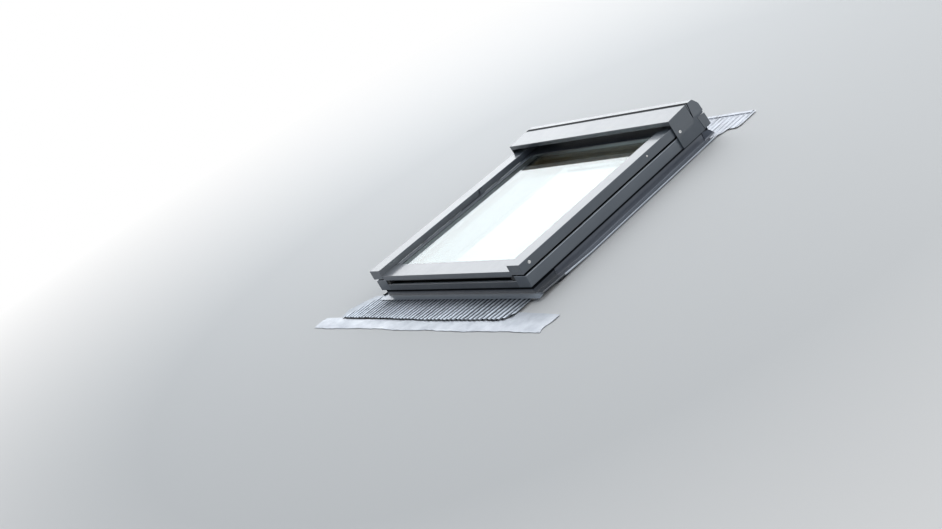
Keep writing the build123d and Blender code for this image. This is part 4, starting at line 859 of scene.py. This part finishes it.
def dressedFlatSheet():
    # soft sheet below the pleats, trimmed and dressed down by hand
    piece = unitGrid("dressedFlatSheet", flatSheet["columns"], flatSheet["rows"])
    left = flatSheet["upperEdge"][0][0]
    right = flatSheet["upperEdge"][-1][0]
    lowZ, highZ = flatSheet["lowZ"], flatSheet["highZ"]
    notch = flatSheet["notch"]
    creases = [(random.uniform(0, 1), random.uniform(-0.5, 0.5), random.uniform(0.4, 1.0))
               for _ in range(flatSheet["creases"])]
    for vertex in piece.data.vertices:
        along, up = vertex.co.x, vertex.co.y
        x = left + (right - left) * along
        y0 = alongLine(flatSheet["lowerEdge"], x) + wobble(x, **flatSheet["edgeWobble"])
        y1 = alongLine(flatSheet["upperEdge"], x)
        # the right end runs in below the middle
        inward = max(0.0, along - notch["start"]) / (1 - notch["start"])
        x -= notch["depth"] * inward * math.exp(-((up - notch["middle"]) / notch["width"]) ** 2)
        y = y0 + (y1 - y0) * up
        z = lowZ + (highZ - lowZ) * up
        z += flatSheet["dent"] * dentAt(x, y) * (1 - flatSheet["toeDent"] * up)
        for spot, skew, size in creases:
            off = along - spot + flatSheet["creaseSkew"] * skew * (up - 0.5)
            ridge = math.exp(-(off / flatSheet["creaseWidth"]) ** 2)
            z += flatSheet["creaseHeight"] * size * ridge * (1 - flatSheet["creaseFade"] * up)
        vertex.co = (x, y, z)
    thickSheet(piece, flatSheet["thickness"])
    finishPiece(piece, "dressedSheet", "frame", "lead_sheet")


screws = {
    "sashCoverScrews": {"node": "sash_cover_screws", "body": "sash",
                        "place": (0.4075, -0.456, 0.113), "radius": 0.0055},
    "upperCoverScrews": {"node": "upper_cover_screws", "body": "frame",
                         "place": (0.4075, 0.168, 0.113), "radius": 0.0032},
    "hoodScrews": {"node": "hood_screws", "body": "frame",
                   "place": (0.4146, 0.3455, 0.1015), "radius": 0.0055},
}
screwHead = {
    "sides": 32,
    "height": 0.0030,
    "round": 0.0011,
    "roundSteps": 4,
    "socketShare": 0.42,
    "socketDepth": 0.0016,
    "shankRadius": 0.0019,
    "shankLength": 0.006,
    "smoothAngle": 35,
    "turn": 0.35,
}


def panScrew(radius):
    # pan head standing on z = 0, rounded edge, hexagon socket, shank below
    height = screwHead["height"]
    freshStart()
    bpy.ops.mesh.primitive_cylinder_add(vertices=screwHead["sides"], radius=radius, depth=height,
                                        location=(0, 0, height / 2))
    head = bpy.context.object
    applyPlace()
    for face in head.data.polygons:
        face.select = face.normal.z < -0.9
    bpy.ops.object.mode_set(mode="EDIT")
    bpy.ops.mesh.select_mode(type="FACE")
    bpy.ops.mesh.inset(thickness=radius - screwHead["shankRadius"])
    bpy.ops.mesh.extrude_region_move(
        TRANSFORM_OT_translate={"value": (0, 0, -screwHead["shankLength"])})
    bpy.ops.mesh.select_all(action="DESELECT")
    bpy.ops.object.mode_set(mode="OBJECT")
    for edge in head.data.edges:
        ends = [head.data.vertices[i].co for i in edge.vertices]
        edge.select = all(abs(end.z - height) < 1e-6 for end in ends)  # the rim on top
    bpy.ops.object.mode_set(mode="EDIT")
    bpy.ops.mesh.select_mode(type="EDGE")
    bpy.ops.mesh.bevel(offset=screwHead["round"], segments=screwHead["roundSteps"], profile=0.5)
    freshStart()
    bpy.ops.mesh.primitive_cylinder_add(vertices=6, radius=radius * screwHead["socketShare"],
                                        depth=2 * screwHead["socketDepth"],
                                        location=(0, 0, height))
    socket = bpy.context.object
    applyPlace()
    pick(head)
    cut = head.modifiers.new("socket", "BOOLEAN")
    cut.operation = "DIFFERENCE"
    cut.object = socket
    applyModifier(cut)
    bpy.data.objects.remove(socket)
    bpy.ops.object.shade_smooth_by_angle(angle=math.radians(screwHead["smoothAngle"]))
    return head


def screwPairs():
    for name, screw in screws.items():
        pair = []
        master = panScrew(screw["radius"])
        x, y, z = screw["place"]
        for side in (-1, 1):
            pick(master)
            bpy.ops.object.duplicate(linked=False)
            copy = bpy.context.object
            copy.rotation_euler = (screwHead["turn"] * side, side * math.pi / 2, 0)
            copy.location = (side * x, y, z)
            applyPlace()
            pair.append(copy)
        bpy.data.objects.remove(master)
        pick(pair[0])
        pair[1].select_set(True)
        bpy.ops.object.join()
        joined = bpy.context.object
        joined.name = name
        finishPiece(joined, "stainlessSteel", screw["body"], screw["node"])


pleatedApron()
dressedFlatSheet()
screwPairs()
print("stage: pleated apron, flat sheet and screws")


deckSizes = {
    "level": -0.0004,
    "half": 30.0,
    "cutHalfX": 0.3935,
    "cutHalfY": 0.4915,
    "colour": (0.59, 0.59, 0.59),
    "roughness": 0.9,
    "specular": 0.1,
    "fade": (1.6, 4.5),
    "white": (1, 1, 1),
}


def deckPaint():
    # far from the window the deck fades to plain white, for the camera only
    material, tree, shader = newMaterial("paleDeckPaint")
    feedAll(tree, shader, {
        "Base Color": deckSizes["colour"], "Roughness": deckSizes["roughness"],
        "Specular IOR Level": deckSizes["specular"]})
    coords = addNode(tree, "ShaderNodeTexCoord")
    span = addNode(tree, "ShaderNodeVectorMath", {0: coords.outputs["Object"]},
                   operation="LENGTH")
    fade = rangeOf(tree, span.outputs["Value"], 0.0, 1.0, *deckSizes["fade"])
    rays = addNode(tree, "ShaderNodeLightPath")
    seen = mathOf(tree, "MULTIPLY", rays.outputs["Is Camera Ray"], fade)
    glow = addNode(tree, "ShaderNodeEmission", {"Color": deckSizes["white"], "Strength": 1.0})
    blend = addNode(tree, "ShaderNodeMixShader", {0: seen, 1: shader.outputs[0],
                                                  2: glow.outputs[0]})
    output = next(n for n in tree.nodes if n.type == "OUTPUT_MATERIAL")
    feed(tree, output.inputs["Surface"], blend.outputs[0])
    return material


def paleDeck():
    # deck at the batten plane with a cut-out for the window frame
    freshStart()
    bpy.ops.mesh.primitive_plane_add(size=2 * deckSizes["half"],
                                     location=(0, 0, deckSizes["level"]))
    deck = bpy.context.object
    deck.name = "paleDeck"
    applyPlace()
    halfX, halfY = deckSizes["cutHalfX"], deckSizes["cutHalfY"]
    bpy.ops.object.mode_set(mode="EDIT")
    for place, normal in (((halfX, 0, 0), (1, 0, 0)), ((-halfX, 0, 0), (1, 0, 0)),
                          ((0, halfY, 0), (0, 1, 0)), ((0, -halfY, 0), (0, 1, 0))):
        bpy.ops.mesh.select_all(action="SELECT")
        bpy.ops.mesh.bisect(plane_co=place, plane_no=normal)
    bpy.ops.mesh.select_all(action="DESELECT")
    bpy.ops.object.mode_set(mode="OBJECT")
    for face in deck.data.polygons:
        face.select = abs(face.center.x) < halfX and abs(face.center.y) < halfY
    bpy.ops.object.mode_set(mode="EDIT")
    bpy.ops.mesh.delete(type="FACE")
    bpy.ops.object.mode_set(mode="OBJECT")
    deck.data.materials.append(deckPaint())


studioSky = {
    "white": (1, 1, 1),
    "fillColour": (0.86, 0.93, 1.0),
    "fillFront": 0.30,
    "fillBack": 0.62,
    "frontToBack": (-0.7, 0.7),
}


def whiteWorld():
    # white to the camera, in mirrors and through the glass, and a soft fill elsewhere
    world = bpy.data.worlds.new("studioSky")
    world.use_nodes = True
    bpy.context.scene.world = world
    tree = world.node_tree
    tree.nodes.clear()
    rays = addNode(tree, "ShaderNodeLightPath").outputs
    shown = mathOf(tree, "MAXIMUM", rays["Is Camera Ray"], rays["Is Transmission Ray"])
    shown = mathOf(tree, "MAXIMUM", shown, rays["Is Glossy Ray"])
    # the fill comes from behind the window more than from below its front
    toBack = coordinateOf(tree, "Generated", "Y")
    strength = rangeOf(tree, toBack, studioSky["fillFront"], studioSky["fillBack"],
                       *studioSky["frontToBack"])
    fill = addNode(tree, "ShaderNodeBackground", {"Color": studioSky["fillColour"],
                                                  "Strength": strength})
    bright = addNode(tree, "ShaderNodeBackground", {"Color": studioSky["white"],
                                                    "Strength": 1.0})
    blend = addNode(tree, "ShaderNodeMixShader", {0: shown, 1: fill.outputs[0],
                                                  2: bright.outputs[0]})
    addNode(tree, "ShaderNodeOutputWorld", {"Surface": blend.outputs[0]})


lamps = {
    "skyPanel": {"place": (-1.5, 2.2, 4.2), "size": (5.0, 5.0), "radiance": 2.2,
                 "colour": (0.95, 0.98, 1)},
    "sidePanel": {"place": (4.0, 0.9, 2.4), "size": (2.6, 2.6), "radiance": 2.3,
                  "colour": (1, 0.99, 0.97)},
    "skyGlow": {"place": (-3.5, 2.6, 1.75), "size": (5.2, 3.1), "radiance": 1.2,
                "colour": (0.92, 0.96, 1)},
}


def addLamps():
    # panels; the low one stands where the glass and the upper faces mirror it to the camera
    for name, lamp in lamps.items():
        place = Vector(lamp["place"])
        bpy.ops.object.light_add(type="AREA", location=place)
        light = bpy.context.object
        light.name = name
        light.rotation_euler = (Vector((0, 0, 0)) - place).to_track_quat("-Z", "Y").to_euler()
        width, length = lamp["size"]
        light.data.shape = "RECTANGLE"
        light.data.size, light.data.size_y = width, length
        light.data.energy = lamp["radiance"] * math.pi * width * length
        light.data.color = lamp["colour"]
        light.visible_camera = False


paleDeck()
whiteWorld()
addLamps()
bpy.context.scene.view_settings.view_transform = "Standard"
print("stage: deck, world and lamps")
